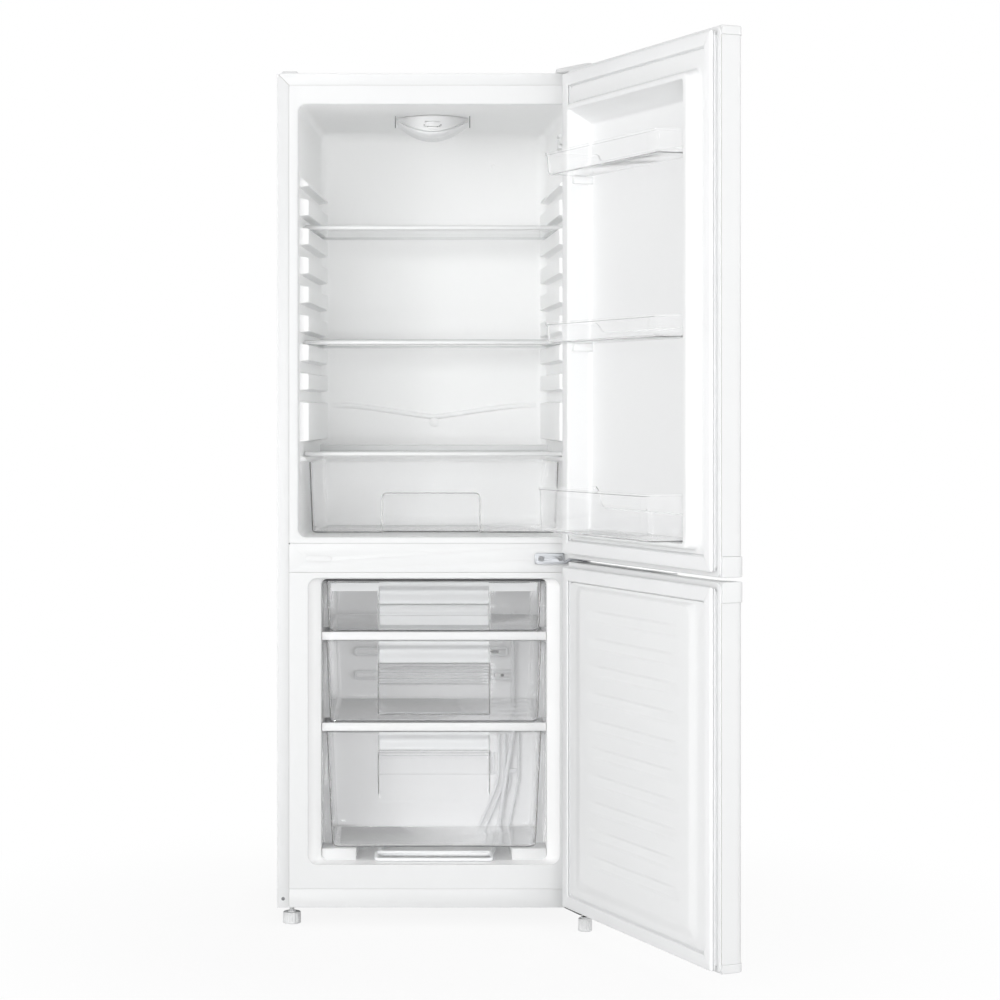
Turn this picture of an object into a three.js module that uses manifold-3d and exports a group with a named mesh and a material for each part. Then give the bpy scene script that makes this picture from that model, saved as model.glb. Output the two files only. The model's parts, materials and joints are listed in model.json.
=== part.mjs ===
// Bottom freezer refrigerator, 545 mm wide and 1480 mm tall, with both doors standing open.
// Millimetres. X runs to the right, Y into the cabinet from the plane of its front flange, Z up
// from the floor. The last lines move the whole assembly so that its origin is the middle of
// its footprint on the floor.

import * as THREE from "three";
import { mergeVertices } from "three/addons/utils/BufferGeometryUtils.js";
import Module from "manifold-3d";

const wasm = await Module();
wasm.setup();

// ---------------------------------------------------------------- driving dimensions

const gap = 0.3; // clearance left between pieces that touch
const far = 1000; // longer than anything that is cut

const cabinet = { half: 272.5, depth: 490, bottom: 31, top: 1480, sheet: 1.2, flange: 20.5, mitre: 0.6 };
const bay = { front: 325, top: 255, plate: 40, sheet: 1.2 }; // room of the compressor
const mullion = { bottom: 613, top: 663.5, thick: 1.2 };
const crossbar = { top: 63.6, thick: 1.2 };
const fridge = {
  half: 235, bottom: 675, top: 1425.6, backHalf: 215, backBottom: 677, backTop: 1422,
  wallDepth: 406, depth: 426, fillet: 20, corner: 13, wall: 2,
};
const freezer = {
  mouthHalf: 218.8, mouthBottom: 105, mouthTop: 603.6, mouthCorner: 16, half: 197, backHalf: 195,
  floor: 109, ceiling: 600, bevel: 25, lowerDepth: 282, step: 300, depth: 430, corner: 10, wall: 2,
};
const hinge = { x: 260, y: -42, openDegrees: 112, pin: 4 };
const door = {
  front: -55, rim: -15, half: 272.5, edgeRadius: 12, sheet: 1, linerWall: 2,
  gasketInner: 243, gasketOuter: 267, gasketThick: 14.3, capProud: 2,
};
const grip = { span: [-232, -52], radius: 19 }; // finger scoop in the caps next to the gap
const upperDoor = { bottom: 640.3, top: 1479.4, bottomCap: 32, topCap: 14 };
const lowerDoor = { bottom: 39, top: 634, bottomCap: 14, topCap: 32 };
const gasketSpans = { upper: [649, 1472], lower: [43, 626] };
const land = { half: 241, inset: 26, height: 10, radius: 10 }; // flat step of a liner inside the gasket
const ring = { // raised ring on the liner of the upper door, and the pan inside it
  baseHalf: 228, baseBottom: 681, baseTop: 1418, crestHalf: 222, crestBottom: 684, crestTop: 1413,
  crest: 16, panHalf: 205.4, mouthHalf: 206.2, panBottom: 690, mouthTop: 1403, panTop: 1381, pan: -27,
};
const plug = { // raised plug on the liner of the lower door, and its lens-shaped grooves
  baseHalf: 222, baseBottom: 78, baseTop: 598, half: 192, bottom: 100, top: 591, height: 14.6,
  grooves: 10, groovePitch: 45.5, grooveHalf: 161, grooveRise: 9.5, grooveDepth: 1.6,
};

const shelf = {
  levels: [1213.7, 1010.7], coverLevel: 813.3, frontHalf: 229, backHalf: 213.5, front: 80, back: 340,
  trimHeight: 8, trimDepth: 14, backTrimHeight: 17, backTrimDepth: 8, runner: 1.6, glass: 4,
};
const rack = { pitch: 50.75, groove: 21, face: 14.5, front: 24, back: 392, slots: 8, topSlot: 1264.45 };
const crisper = {
  front: 85, back: 352, bottom: 677.6, top: 803, topHalf: 221, wall: 2.4, taper: 5, backNarrower: 14,
  pull: { left: -91, right: 80, top: 746.6, depth: 16 },
};
const freezerDrawers = [
  { name: "upper", bottom: 507.4, top: 594, half: 188.5, taper: 4, back: 392, pull: 79 },
  { name: "middle", bottom: 348.4, top: 490.6, half: 188.5, taper: 6, back: 392, pull: 76 },
  { name: "lower", bottom: 129, top: 331.2, half: 188.5, taper: 10, back: 262, pull: 78 },
];
const drawer = { front: 35, wall: 2.4, pullHalf: 96, pullDepth: 14, lip: 4 };
const coolingLevels = [
  { name: "upper", z: 499, back: 400 },
  { name: "lower", z: 340, back: 400 },
];
const coolingTube = { radius: 4, half: 184, front: 51, runs: 6, sides: 6 };
const rail = { above: 8.1, height: 14, front: 30, back: 45, half: 196 };
const ledge = { inner: 178, below: 4.3, thick: 3.3, back: 418, floorInner: 136, floorTop: 128.7 };

const bins = [
  { name: "top", bottom: 1290, top: 1327, reach: 62 },
  { name: "middle", bottom: 1007, top: 1042, reach: 62 },
  { name: "bottom", bottom: 692, top: 766, reach: 75 },
];
const bin = { half: 204.6, back: -25.5, wall: 2.2, notchHalf: 165, notch: 0.45 };

const control = { centre: -2.6, half: 66, front: 136, back: 291, drop: 27, lens: 14, dialRadius: 21 };
const lightSwitch = { x: 223, z: 1365, half: 4, rise: 6, front: 11, back: 46 };
const compressor = { x: 55, y: 410, bottom: 58, radius: 66, height: 150, foot: 150 };
const condenser = { half: 225, bottom: 300, top: 1400, runs: 10, radius: 2.5, y: 508, straps: 3, sides: 5 };
const foot = { x: -248, y: 25, radius: 15.5, height: 22, stud: 4, studTop: 53 };
const roller = { x: 205, y: 462, radius: 19, width: 16, axle: 3 };

// ---------------------------------------------------------------- shaping

// A closed mesh as a solid with its faces pointing out.
function solidOf(geometry) {
  const bare = geometry.clone();
  for (const name of ["normal", "uv"]) bare.deleteAttribute(name);
  const merged = mergeVertices(bare, 1e-4);
  const vertProperties = merged.attributes.position.array;
  const triVerts = new Uint32Array(merged.index.array);
  const corner = (i) => new THREE.Vector3().fromArray(vertProperties, 3 * triVerts[i]);
  let volume = 0;
  for (let i = 0; i < triVerts.length; i += 3) {
    volume += corner(i).dot(corner(i + 1).cross(corner(i + 2)));
  }
  if (volume < 0) {
    for (let i = 0; i < triVerts.length; i += 3) {
      [triVerts[i + 1], triVerts[i + 2]] = [triVerts[i + 2], triVerts[i + 1]];
    }
  }
  return new wasm.Manifold(new wasm.Mesh({ numProp: 3, vertProperties, triVerts }));
}

function geometryOf(solid) {
  const mesh = solid.getMesh();
  const geometry = new THREE.BufferGeometry();
  geometry.setAttribute("position", new THREE.BufferAttribute(mesh.vertProperties, 3));
  geometry.setIndex(new THREE.BufferAttribute(mesh.triVerts, 1));
  const faceted = geometry.toNonIndexed();
  faceted.computeVertexNormals();
  return faceted;
}

const join = (...solids) => solids.reduce((whole, next) => whole.add(next));
const cut = (solid, ...tools) => tools.reduce((whole, tool) => whole.subtract(tool), solid);

function block([x0, x1], [y0, y1], [z0, z1]) {
  const geometry = new THREE.BoxGeometry(x1 - x0, y1 - y0, z1 - z0);
  return solidOf(geometry.translate((x0 + x1) / 2, (y0 + y1) / 2, (z0 + z1) / 2));
}

// An outline of pairs, in the order of the two axes that are not the given one, drawn out along it.
function prism(axis, outline, [from, to]) {
  const shape = new THREE.Shape(outline.map(([a, b]) => new THREE.Vector2(a, b)));
  const geometry = new THREE.ExtrudeGeometry(shape, { depth: to - from, bevelEnabled: false });
  const position = geometry.attributes.position;
  for (let i = 0; i < position.count; i++) {
    const [a, b, along] = [position.getX(i), position.getY(i), position.getZ(i) + from];
    if (axis === "x") position.setXYZ(i, along, a, b);
    if (axis === "y") position.setXYZ(i, a, along, b);
    if (axis === "z") position.setXYZ(i, a, b, along);
  }
  return solidOf(geometry);
}

// Points round a rectangle with round corners: a and b are its spans.
function roundedRectangle([a0, a1], [b0, b1], radius, steps = 3) {
  const corners = [[a1 - radius, b1 - radius], [a0 + radius, b1 - radius],
    [a0 + radius, b0 + radius], [a1 - radius, b0 + radius]];
  return corners.flatMap(([a, b], quarter) => Array.from({ length: steps + 1 }, (_, i) => {
    const angle = (quarter + i / steps) * Math.PI / 2;
    return [a + radius * Math.cos(angle), b + radius * Math.sin(angle)];
  }));
}

// A solid through rounded rectangles { at, a, b, r } that stand one behind the other along an axis.
function loft(axis, sections) {
  const loops = sections.map(({ a, b, r }) => roundedRectangle(a, b, r));
  const size = loops[0].length;
  const positions = loops.flatMap((loop, i) => loop.flatMap(([a, b]) => {
    const at = sections[i].at;
    return axis === "y" ? [a, at, b] : [a, b, at];
  }));
  const index = [];
  for (let i = 0; i + 1 < loops.length; i++) {
    for (let j = 0; j < size; j++) {
      const [p, q] = [i * size + j, i * size + (j + 1) % size];
      index.push(p, q, q + size, p, q + size, p + size);
    }
  }
  const last = (loops.length - 1) * size;
  for (let j = 1; j + 1 < size; j++) {
    index.push(0, j + 1, j, last, last + j, last + j + 1);
  }
  const geometry = new THREE.BufferGeometry();
  geometry.setAttribute("position", new THREE.Float32BufferAttribute(positions, 3));
  geometry.setIndex(index);
  return solidOf(geometry);
}

const across = (half, centre = 0) => [centre - half, centre + half];

// A round bar along an axis, from one end to the other, centred on the two other coordinates.
function bar(axis, [p, q], [from, to], radius, sides = 16) {
  const geometry = new THREE.CylinderGeometry(radius, radius, to - from, sides);
  const middle = (from + to) / 2;
  if (axis === "x") geometry.rotateZ(Math.PI / 2).translate(middle, p, q);
  if (axis === "y") geometry.translate(p, middle, q);
  if (axis === "z") geometry.rotateX(Math.PI / 2).translate(p, q, middle);
  return solidOf(geometry);
}

// A profile of [radius, height] pairs turned about a vertical line.
function turned([x, y], profile, sides = 20) {
  const points = profile.map(([radius, height]) => new THREE.Vector2(radius, height));
  return solidOf(new THREE.LatheGeometry(points, sides).rotateX(Math.PI / 2).translate(x, y, 0));
}

// A route through given points, walked from one to the next.
class Route extends THREE.Curve {
  constructor(points) {
    super();
    this.points = points;
  }
  getPoint(t) {
    const last = this.points.length - 1;
    const i = Math.min(Math.floor(t * last + 1e-9), last - 1);
    return this.points[i].clone().lerp(this.points[i + 1], t * last - i);
  }
  getPointAt(u) {
    return this.getPoint(u);
  }
  getTangentAt(u) {
    const last = this.points.length - 1;
    const i = Math.round(u * last);
    const [before, after] = [this.points[Math.max(i - 1, 0)], this.points[Math.min(i + 1, last)]];
    return after.clone().sub(before).normalize();
  }
}

// Corners of a route rounded to the given radius.
function rounded(corners, radius, steps = 3) {
  const points = corners.map((p) => new THREE.Vector3(...p));
  const route = [points[0]];
  for (let i = 1; i + 1 < points.length; i++) {
    const into = points[i].clone().sub(points[i - 1]).normalize();
    const out = points[i + 1].clone().sub(points[i]).normalize();
    const setback = radius * Math.tan(into.angleTo(out) / 2);
    const start = points[i].clone().addScaledVector(into, -setback);
    const end = points[i].clone().addScaledVector(out, setback);
    const arc = new THREE.QuadraticBezierCurve3(start, points[i], end);
    for (let k = 0; k <= steps; k++) {
      const point = arc.getPoint(k / steps);
      if (point.distanceTo(route[route.length - 1]) > 0.01) route.push(point);
    }
  }
  route.push(points[points.length - 1]);
  return route;
}

function tube(route, radius, sides = 6) {
  const section = new THREE.Shape(Array.from({ length: sides }, (_, i) => {
    const angle = 2 * Math.PI * i / sides;
    return new THREE.Vector2(radius * Math.cos(angle), radius * Math.sin(angle));
  }));
  const options = { steps: route.length - 1, extrudePath: new Route(route), bevelEnabled: false };
  return solidOf(new THREE.ExtrudeGeometry(section, options));
}

// Corners of a run that goes to and fro between -half and +half, one pitch further each time.
function toAndFro(runs, half, pitch, place) {
  const corners = [];
  for (let i = 0; i < runs; i++) {
    const side = i % 2 ? 1 : -1;
    corners.push(place(side * half, i * pitch), place(-side * half, i * pitch));
  }
  return corners;
}

// ---------------------------------------------------------------- finishes

const finish = (color, roughness, metalness = 0, opacity = 1) => () => new THREE.MeshStandardMaterial({
  color, roughness, metalness, opacity, transparent: opacity < 1,
});
const whiteSteel = finish(0xf4f5f5, 0.35);
const whitePlastic = finish(0xf2f3f3, 0.4);
const liningPlastic = finish(0xf5f6f6, 0.3);
const rubberWhite = finish(0xe9eaea, 0.6);
const clearPlastic = finish(0xe8eef0, 0.08, 0, 0.3);
const glassSheet = finish(0xe2efec, 0.03, 0, 0.3);
const foamYellow = finish(0xe8d9a0, 0.95);
const zinc = finish(0xb9bcbf, 0.35, 1);
const tubeWhite = finish(0xeceeee, 0.4);
const blackEnamel = finish(0x161717, 0.45);
const darkPlastic = finish(0x2a2c2e, 0.6);
const greyPlastic = finish(0x8f9396, 0.55);

function add(group, name, solid, material) {
  const mesh = new THREE.Mesh(geometryOf(solid), material());
  mesh.name = name;
  group.add(mesh);
}

const refrigerator = new THREE.Group();
const cabinetGroup = new THREE.Group();
refrigerator.add(cabinetGroup);

// ---------------------------------------------------------------- compartments

const fridgeRoom = (grow) => loft("y", [
  { at: grow > 0 ? 0 : -5, a: across(fridge.half + grow), b: [fridge.bottom - grow, fridge.top + grow],
    r: fridge.corner + grow },
  { at: fridge.wallDepth + grow / 2, a: across(fridge.backHalf + grow),
    b: [fridge.backBottom - grow, fridge.backTop + grow], r: fridge.corner + grow },
  { at: fridge.depth - fridge.fillet * 0.3 + grow, a: across(fridge.backHalf - fridge.fillet * 0.3 + grow),
    b: [fridge.backBottom + fridge.fillet * 0.3 - grow, fridge.backTop - fridge.fillet * 0.3 + grow],
    r: fridge.corner + grow },
  { at: fridge.depth + grow, a: across(fridge.backHalf - fridge.fillet + grow),
    b: [fridge.backBottom + fridge.fillet - grow, fridge.backTop - fridge.fillet + grow],
    r: fridge.corner + grow },
]);

function freezerRoom(grow) {
  const low = loft("y", [
    { at: grow > 0 ? 0 : -5, a: across(freezer.mouthHalf + grow),
      b: [freezer.mouthBottom - grow, freezer.mouthTop + grow], r: freezer.mouthCorner + grow },
    { at: grow > 0 ? 1 : 0, a: across(freezer.mouthHalf + grow),
      b: [freezer.mouthBottom - grow, freezer.mouthTop + grow], r: freezer.mouthCorner + grow },
    { at: freezer.bevel, a: across(freezer.half + grow), b: [freezer.floor - grow, freezer.ceiling + grow],
      r: freezer.corner + grow },
    { at: freezer.lowerDepth + grow, a: across(freezer.backHalf + grow),
      b: [freezer.floor - grow, freezer.ceiling + grow], r: freezer.corner + grow },
  ]);
  const high = loft("y", [
    { at: freezer.bevel + 10, a: across(freezer.half - 0.5 + grow),
      b: [freezer.step - grow, freezer.ceiling - 0.1 + grow], r: freezer.corner + grow },
    { at: freezer.depth + grow, a: across(freezer.backHalf - 1 + grow),
      b: [freezer.step - grow, freezer.ceiling - 1 + grow], r: freezer.corner + grow },
  ]);
  return join(low, high);
}

// Half width of the fridge room at a depth.
const fridgeWallAt = (y) => fridge.half - (fridge.half - fridge.backHalf) * y / fridge.wallDepth;

// A bar on each side wall of the fridge room that follows the wall's draft and stands out by "face".
function wallRib(side, [y0, y1], [z0, z1], face) {
  const outline = [[fridgeWallAt(y0) + 1, y0], [fridgeWallAt(y0) - face, y0],
    [fridgeWallAt(y1) - face, y1], [fridgeWallAt(y1) + 1, y1]];
  return prism("z", outline.map(([x, y]) => [side * x, y]), [z0, z1]);
}

function fridgeLiner() {
  const lip = block(across(cabinet.half - cabinet.flange - gap), [0, fridge.wall],
    [mullion.top + gap, cabinet.top - cabinet.flange - gap]);
  const parts = [];
  for (const side of [-1, 1]) {
    for (let i = 0; i < rack.slots; i++) {
      const floor = rack.topSlot - i * rack.pitch;
      const next = i + 1 < rack.slots ? floor - rack.pitch + rack.groove : shelf.coverLevel + rack.groove + 6;
      parts.push(wallRib(side, [rack.front, rack.back], [next, floor], rack.face));
    }
    parts.push(wallRib(side, [rack.front, rack.back],
      [rack.topSlot + rack.groove, rack.topSlot + rack.groove + 18], rack.face));
    parts.push(wallRib(side, [rack.front + 8, rack.back - 20], [shelf.coverLevel - 8, shelf.coverLevel], 8));
  }
  const trough = [[-198, 905], [0, 882], [198, 905], [198, 891], [8, 868], [8, 856], [-8, 856], [-8, 868],
    [-198, 891]];
  parts.push(prism("y", trough, [fridge.depth - 8, fridge.depth + 1]));
  const { x, z, half, rise, back } = lightSwitch;
  parts.push(cut(wallRib(1, [24, back + 14], across(rise + 7, z), 18),
    block(across(half + gap, x), [0, back + 7], across(rise + gap, z))));
  return cut(join(fridgeRoom(fridge.wall), lip), fridgeRoom(0)).add(join(...parts));
}

function freezerLiner() {
  const lip = block(across(cabinet.half - cabinet.flange - gap), [0, freezer.wall],
    [crossbar.top + gap, mullion.bottom - gap]);
  const parts = [];
  for (const side of [-1, 1]) {
    const reaching = (inner, span, heights) =>
      block([inner, freezer.half + 1].map((x) => side * x).sort((a, b) => a - b), span, heights);
    for (const { z } of coolingLevels) {
      const under = z - ledge.below;
      parts.push(reaching(ledge.inner, [rail.back + 1, ledge.back], [under - ledge.thick, under]));
    }
    parts.push(reaching(ledge.floorInner, [rail.front, 252], [freezer.floor - 1, ledge.floorTop]));
  }
  const ledges = join(...parts).intersect(freezerRoom(freezer.wall / 2));
  return cut(join(freezerRoom(freezer.wall), lip), freezerRoom(0)).add(ledges);
}

// ---------------------------------------------------------------- cabinet

// The sides and the top are one bent sheet. Its front flange is mitred at both top corners.
function outerShell() {
  const { half, depth, bottom, top, sheet, flange, mitre } = cabinet;
  const mitres = [-1, 1].map((side) => prism("y", [
    [half - sheet - 1, top - sheet - 1], [half - sheet - 1 - mitre, top - sheet - 1],
    [half - flange - 2, top - flange - 2 + mitre], [half - flange - 2, top - flange - 2],
  ].map(([x, z]) => [side * x, z]), [-1, sheet + 1]));
  return cut(
    block(across(half), [0, depth], [bottom, top]),
    block(across(half - sheet), [sheet, depth + 1], [bottom - 1, top - sheet]),
    block(across(half - flange), [-1, sheet + 1], [bottom - 1, top - flange]),
    ...mitres,
  );
}

const shellInside = cabinet.half - cabinet.sheet - gap;
const drainAt = [150, 470];

function cabinetFoam() {
  const whole = block(across(shellInside), [fridge.wall + gap, cabinet.depth - 2.2],
    [cabinet.bottom + bay.sheet + 2 * gap, cabinet.top - cabinet.sheet - gap]);
  const bayRoom = block(across(far), [bay.front - gap, far], [0, bay.top + bay.sheet + gap]);
  const behindFront = [
    block(across(far), [0, mullion.thick + 15 + gap], [mullion.bottom - gap, mullion.top + gap]),
    block(across(far), [0, crossbar.thick + 15 + gap], [0, crossbar.top + gap]),
  ];
  const drainHole = bar("z", drainAt, [0, far], 9 + gap, 12);
  const studHole = bar("z", [foot.x, foot.y], [0, foot.studTop + 1], foot.stud + gap, 12);
  return cut(whole, fridgeRoom(fridge.wall + gap), freezerRoom(freezer.wall + gap), bayRoom, ...behindFront,
    drainHole, studHole);
}

// A folded channel across the front, open to the back.
function frontChannel([z0, z1], thick) {
  const half = cabinet.half - cabinet.flange - gap;
  return cut(block(across(half), [0, 15], [z0, z1]),
    block(across(half + 1), [thick, far], [z0 + thick, z1 - thick]));
}

function basePan() {
  const floor = cabinet.bottom;
  const s = bay.sheet;
  const front = block(across(shellInside), [16.2, bay.front + s], [floor, floor + s]);
  const riser = block(across(shellInside), [bay.front, bay.front + s], [floor, bay.top + s]);
  const roof = block(across(shellInside), [bay.front, cabinet.depth - 2.2], [bay.top, bay.top + s]);
  return cut(join(front, riser, roof), bar("z", drainAt, [0, far], 9 + gap, 12),
    bar("z", [foot.x, foot.y], [0, far], foot.stud + gap, 12));
}

add(cabinetGroup, "outer_shell", outerShell(), whiteSteel);
add(cabinetGroup, "cabinet_foam", cabinetFoam(), foamYellow);
add(cabinetGroup, "fridge_liner", fridgeLiner(), liningPlastic);
add(cabinetGroup, "freezer_liner", freezerLiner(), liningPlastic);
add(cabinetGroup, "base_pan", basePan(), zinc);
add(cabinetGroup, "back_panel", block(across(shellInside), [cabinet.depth - 1.8, cabinet.depth - 0.6],
  [bay.top - 6, cabinet.top - 2]), whiteSteel);
add(cabinetGroup, "lower_cross_member", frontChannel([cabinet.bottom + gap, crossbar.top], crossbar.thick),
  whiteSteel);

// The middle cross member has an oblong hole at each end, for the hinge or for the plug.
const plugHole = { x: -200.5, half: 22.5, z: 637, rise: 4.5 };
const oblong = (centre, half, z, rise, span) =>
  prism("y", roundedRectangle(across(half, centre), across(rise, z), rise - 0.2, 4), span);
const middleScrew = { xs: [185.8, 219], z: 637.5, shank: 2.2 };
const middleScrewHoles = (clearance) => middleScrew.xs.map((x) =>
  bar("y", [x, middleScrew.z], [-far, mullion.thick + 1], middleScrew.shank + clearance, 10));
add(cabinetGroup, "middle_cross_member",
  cut(frontChannel([mullion.bottom, mullion.top], mullion.thick), ...middleScrewHoles(gap),
    oblong(plugHole.x, plugHole.half - 3, plugHole.z, plugHole.rise - 1, [-1, 3])), whiteSteel);
add(cabinetGroup, "hinge_hole_plug", join(
  oblong(plugHole.x, plugHole.half, plugHole.z, plugHole.rise, [-1.8, -gap]),
  oblong(plugHole.x, plugHole.half - 4, plugHole.z, plugHole.rise - 2, [-gap - 0.1, 4])), whitePlastic);
add(cabinetGroup, "top_corner_cap",
  loft("z", [
    { at: cabinet.top + gap, a: [-266, -236], b: [3, 36], r: 4 },
    { at: cabinet.top + 4, a: [-264, -238], b: [5, 34], r: 4 },
  ]), whitePlastic);

// ---------------------------------------------------------------- hinges and feet

const armPlan = (half, back) => [
  [hinge.x - half - 34, back], [hinge.x - half - 34, back - 12], [hinge.x - half, hinge.y - 2],
  [hinge.x - half * 0.7, hinge.y - half * 0.7], [hinge.x, hinge.y - half],
  [hinge.x + half * 0.7, hinge.y - half * 0.7], [hinge.x + half, hinge.y], [hinge.x + half - 1, back],
];
const pinAt = [hinge.x, hinge.y];

add(cabinetGroup, "top_hinge_bracket", join(
  prism("z", armPlan(9, 30), [cabinet.top + gap, cabinet.top + gap + 3]),
  bar("z", pinAt, [upperDoor.top - 9, cabinet.top + 2], hinge.pin, 16)), zinc);
const coverBase = cabinet.top + gap;
const coverHull = (inset, top) => loft("z", [
  { at: coverBase - (inset ? 1 : 0), a: [212 + inset, 271.6 - inset], b: [-54 + inset, 44 - inset], r: 6 },
  { at: top - 3, a: [213 + inset, 270.6 - inset], b: [-53 + inset, 43 - inset], r: 6 },
  { at: top, a: [218 + inset, 266 - inset], b: [-48 + inset, 38 - inset], r: 6 },
]);
add(cabinetGroup, "top_hinge_cover", cut(coverHull(0, 1491), coverHull(1.8, 1489)), whitePlastic);

// Bracket between the doors: a plate screwed to the cross member, a foot along its lower edge, and an
// arm that climbs from the foot into the gap between the doors and carries the pin.
const middleZ = (upperDoor.bottom + lowerDoor.top) / 2;
function middleHingeBracket() {
  const [low, high] = [middleZ - 1.5, middleZ + 1.5];
  const plate = prism("y", [[175, 628], [226, 628], [226, 647], [178, 647], [175, 644]], [-3.3, -gap]);
  const edge = block([178, 224], [-8, -gap], [628, 631]);
  const ramp = prism("y", [[222, 628], [228, 628], [242, low], [242, high], [236, high], [224, 631]],
    [-8, -gap]);
  const arm = prism("z", [[236, -gap], [236, -26], [252, -46], [256, -50], [264, -50], [269, -45],
    [269, -38], [262, -32], [245, -12], [245, -gap]], [low, high]);
  const pin = bar("z", pinAt, across(13, middleZ), hinge.pin, 16);
  return cut(join(plate, edge, ramp, arm, pin), ...middleScrewHoles(gap));
}

add(cabinetGroup, "middle_hinge_bracket", middleHingeBracket(), zinc);

function screw([x, z], y) {
  const head = bar("y", [x, z], [y - 2.4, y], 4.4, 12);
  const slot = join(block(across(2.8, x), [y - 3, y - 1.4], across(0.5, z)),
    block(across(0.5, x), [y - 3, y - 1.4], across(2.8, z)));
  return join(cut(head, slot), bar("y", [x, z], [y - 0.2, y + 12], middleScrew.shank, 10));
}

for (const [i, side] of ["left", "right"].entries()) {
  const at = [middleScrew.xs[i], middleScrew.z];
  add(cabinetGroup, `middle_hinge_screw_${side}`, screw(at, -3.3 - gap), zinc);
}

const bracketZ = [cabinet.bottom - gap - 3, cabinet.bottom - gap];
add(cabinetGroup, "bottom_hinge_bracket", join(
  prism("z", armPlan(11, 60), bracketZ),
  bar("z", pinAt, [18, lowerDoor.bottom + 9], hinge.pin, 16),
  bar("z", [232, 36], [bracketZ[0] - 3, bracketZ[0] + 1], 4.4, 12)), blackEnamel);

// A ribbed levelling foot with a flat sole.
function levellingFoot([x, y], radius, height, hole) {
  const body = turned([x, y], [[0, 0], [radius - 1.5, 0], [radius, 1.5], [radius, height - 4],
    [radius - 1.5, height - 2], [hole + 3, height - 2], [hole + 3, height], [0, height]], 20);
  const flutes = Array.from({ length: 10 }, (_, i) => {
    const angle = 2 * Math.PI * (i + 0.5) / 10;
    return bar("z", [x + (radius + 0.6) * Math.cos(angle), y + (radius + 0.6) * Math.sin(angle)],
      [4, height + 1], 1.8, 6);
  });
  return cut(body, ...flutes);
}

const leftFootStud = bar("z", [foot.x, foot.y], [foot.height - 1, foot.studTop], foot.stud, 12);
const pinRoom = bar("z", pinAt, [12, far], hinge.pin + gap, 16);
add(cabinetGroup, "front_foot_left",
  join(levellingFoot([foot.x, foot.y], foot.radius, foot.height, foot.stud), leftFootStud), whitePlastic);
add(cabinetGroup, "front_foot_right", cut(levellingFoot(pinAt, 12, 24, hinge.pin), pinRoom), whitePlastic);

// ---------------------------------------------------------------- compressor bay

const plateTop = bay.plate + 2;
function compressorPlate() {
  const plate = block(across(shellInside), [bay.front + 14, cabinet.depth - 1], [bay.plate, plateTop]);
  const ears = [-1, 1].flatMap((side) => [-1, 1].map((face) => {
    const x = side * roller.x + face * (roller.width / 2 + 2);
    return block(across(1.2, x), [roller.y - 12, roller.y + 12], [12, plateTop - 0.5]);
  }));
  const slots = [-1, 1].map((side) => block(across(roller.width / 2 + 0.8, side * roller.x),
    [roller.y - roller.radius - 2, roller.y + roller.radius + 2], [bay.plate - 5, plateTop + 1]));
  const axles = [-1, 1].map((side) => bar("x", [roller.y, roller.radius],
    across(roller.width / 2 + 5, side * roller.x), roller.axle, 12));
  const cordGland = turned([-235, 466], [[0, plateTop - 0.5], [10, plateTop - 0.5], [10, plateTop + 6],
    [6, plateTop + 20], [0, plateTop + 20]], 14);
  const holes = grommetPlaces().map((at) => bar("z", at, [0, 80], 5 + gap, 12));
  return join(cut(join(plate, ...ears), ...slots, ...holes), ...axles, cordGland);
}

function grommetPlaces() {
  const { x, y, foot: spacing } = compressor;
  return [-1, 1].flatMap((i) => [-1, 1].map((j) => [x + i * spacing / 2, y + j * 50]));
}

add(cabinetGroup, "compressor_plate", compressorPlate(), zinc);
function compressorBody() {
  const { x, y, bottom, radius, height } = compressor;
  const shell = turned([x, y], [[0, bottom], [radius * 0.6, bottom], [radius * 0.93, bottom + 22],
    [radius * 0.96, bottom + 72], [radius, bottom + 74], [radius, bottom + 82], [radius * 0.95, bottom + 84],
    [radius * 0.9, bottom + 118], [radius * 0.62, bottom + 142], [0, bottom + height]], 22);
  const feet = [-1, 1].map((j) => block(across(compressor.foot / 2 + 14, x), across(12, y + j * 50),
    [bottom - 1, bottom + 2]));
  const grommets = grommetPlaces().map((at) => turned(at, [[0, bay.plate - 4], [5, bay.plate - 4],
    [5, plateTop + gap], [10, plateTop + gap], [10, plateTop + 10], [6, bottom], [0, bottom]], 12));
  const terminalBox = block([x - 101, x - 60], across(34, y), [bottom + 34, bottom + 102]);
  const suction = tube(rounded([[x - 20, y - 55, bottom + 62], [x - 20, 349, bottom + 62],
    [-30, 349, bottom + 62], [-30, 349, 247], [-100, 349, 247]], 8), 3, 6);
  return join(shell, ...feet, ...grommets, terminalBox, suction);
}

add(cabinetGroup, "compressor", compressorBody(), blackEnamel);
const trayForm = (inset, [low, high]) => loft("z", [
  { at: low, a: [-12 + inset, 122 - inset], b: [352 + inset, 470 - inset], r: 8 - inset / 2 },
  { at: high, a: [-18 + inset, 128 - inset], b: [346 + inset, 476 - inset], r: 10 - inset / 2 },
]);
add(cabinetGroup, "evaporation_tray", cut(trayForm(0, [214, 240]), trayForm(2, [216, 241])), darkPlastic);
add(cabinetGroup, "drain_tube",
  cut(bar("z", drainAt, [262, 860], 9, 12), bar("z", drainAt, [200, 900], 6.5, 12)), greyPlastic);

for (const [i, side] of ["left", "right"].entries()) {
  const x = (i ? 1 : -1) * roller.x;
  const wheel = cut(bar("x", [roller.y, roller.radius], across(roller.width / 2, x), roller.radius, 24),
    bar("x", [roller.y, roller.radius], across(far, x), roller.axle + gap, 12));
  add(cabinetGroup, `rear_roller_${side}`, wheel, darkPlastic);
}

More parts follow.
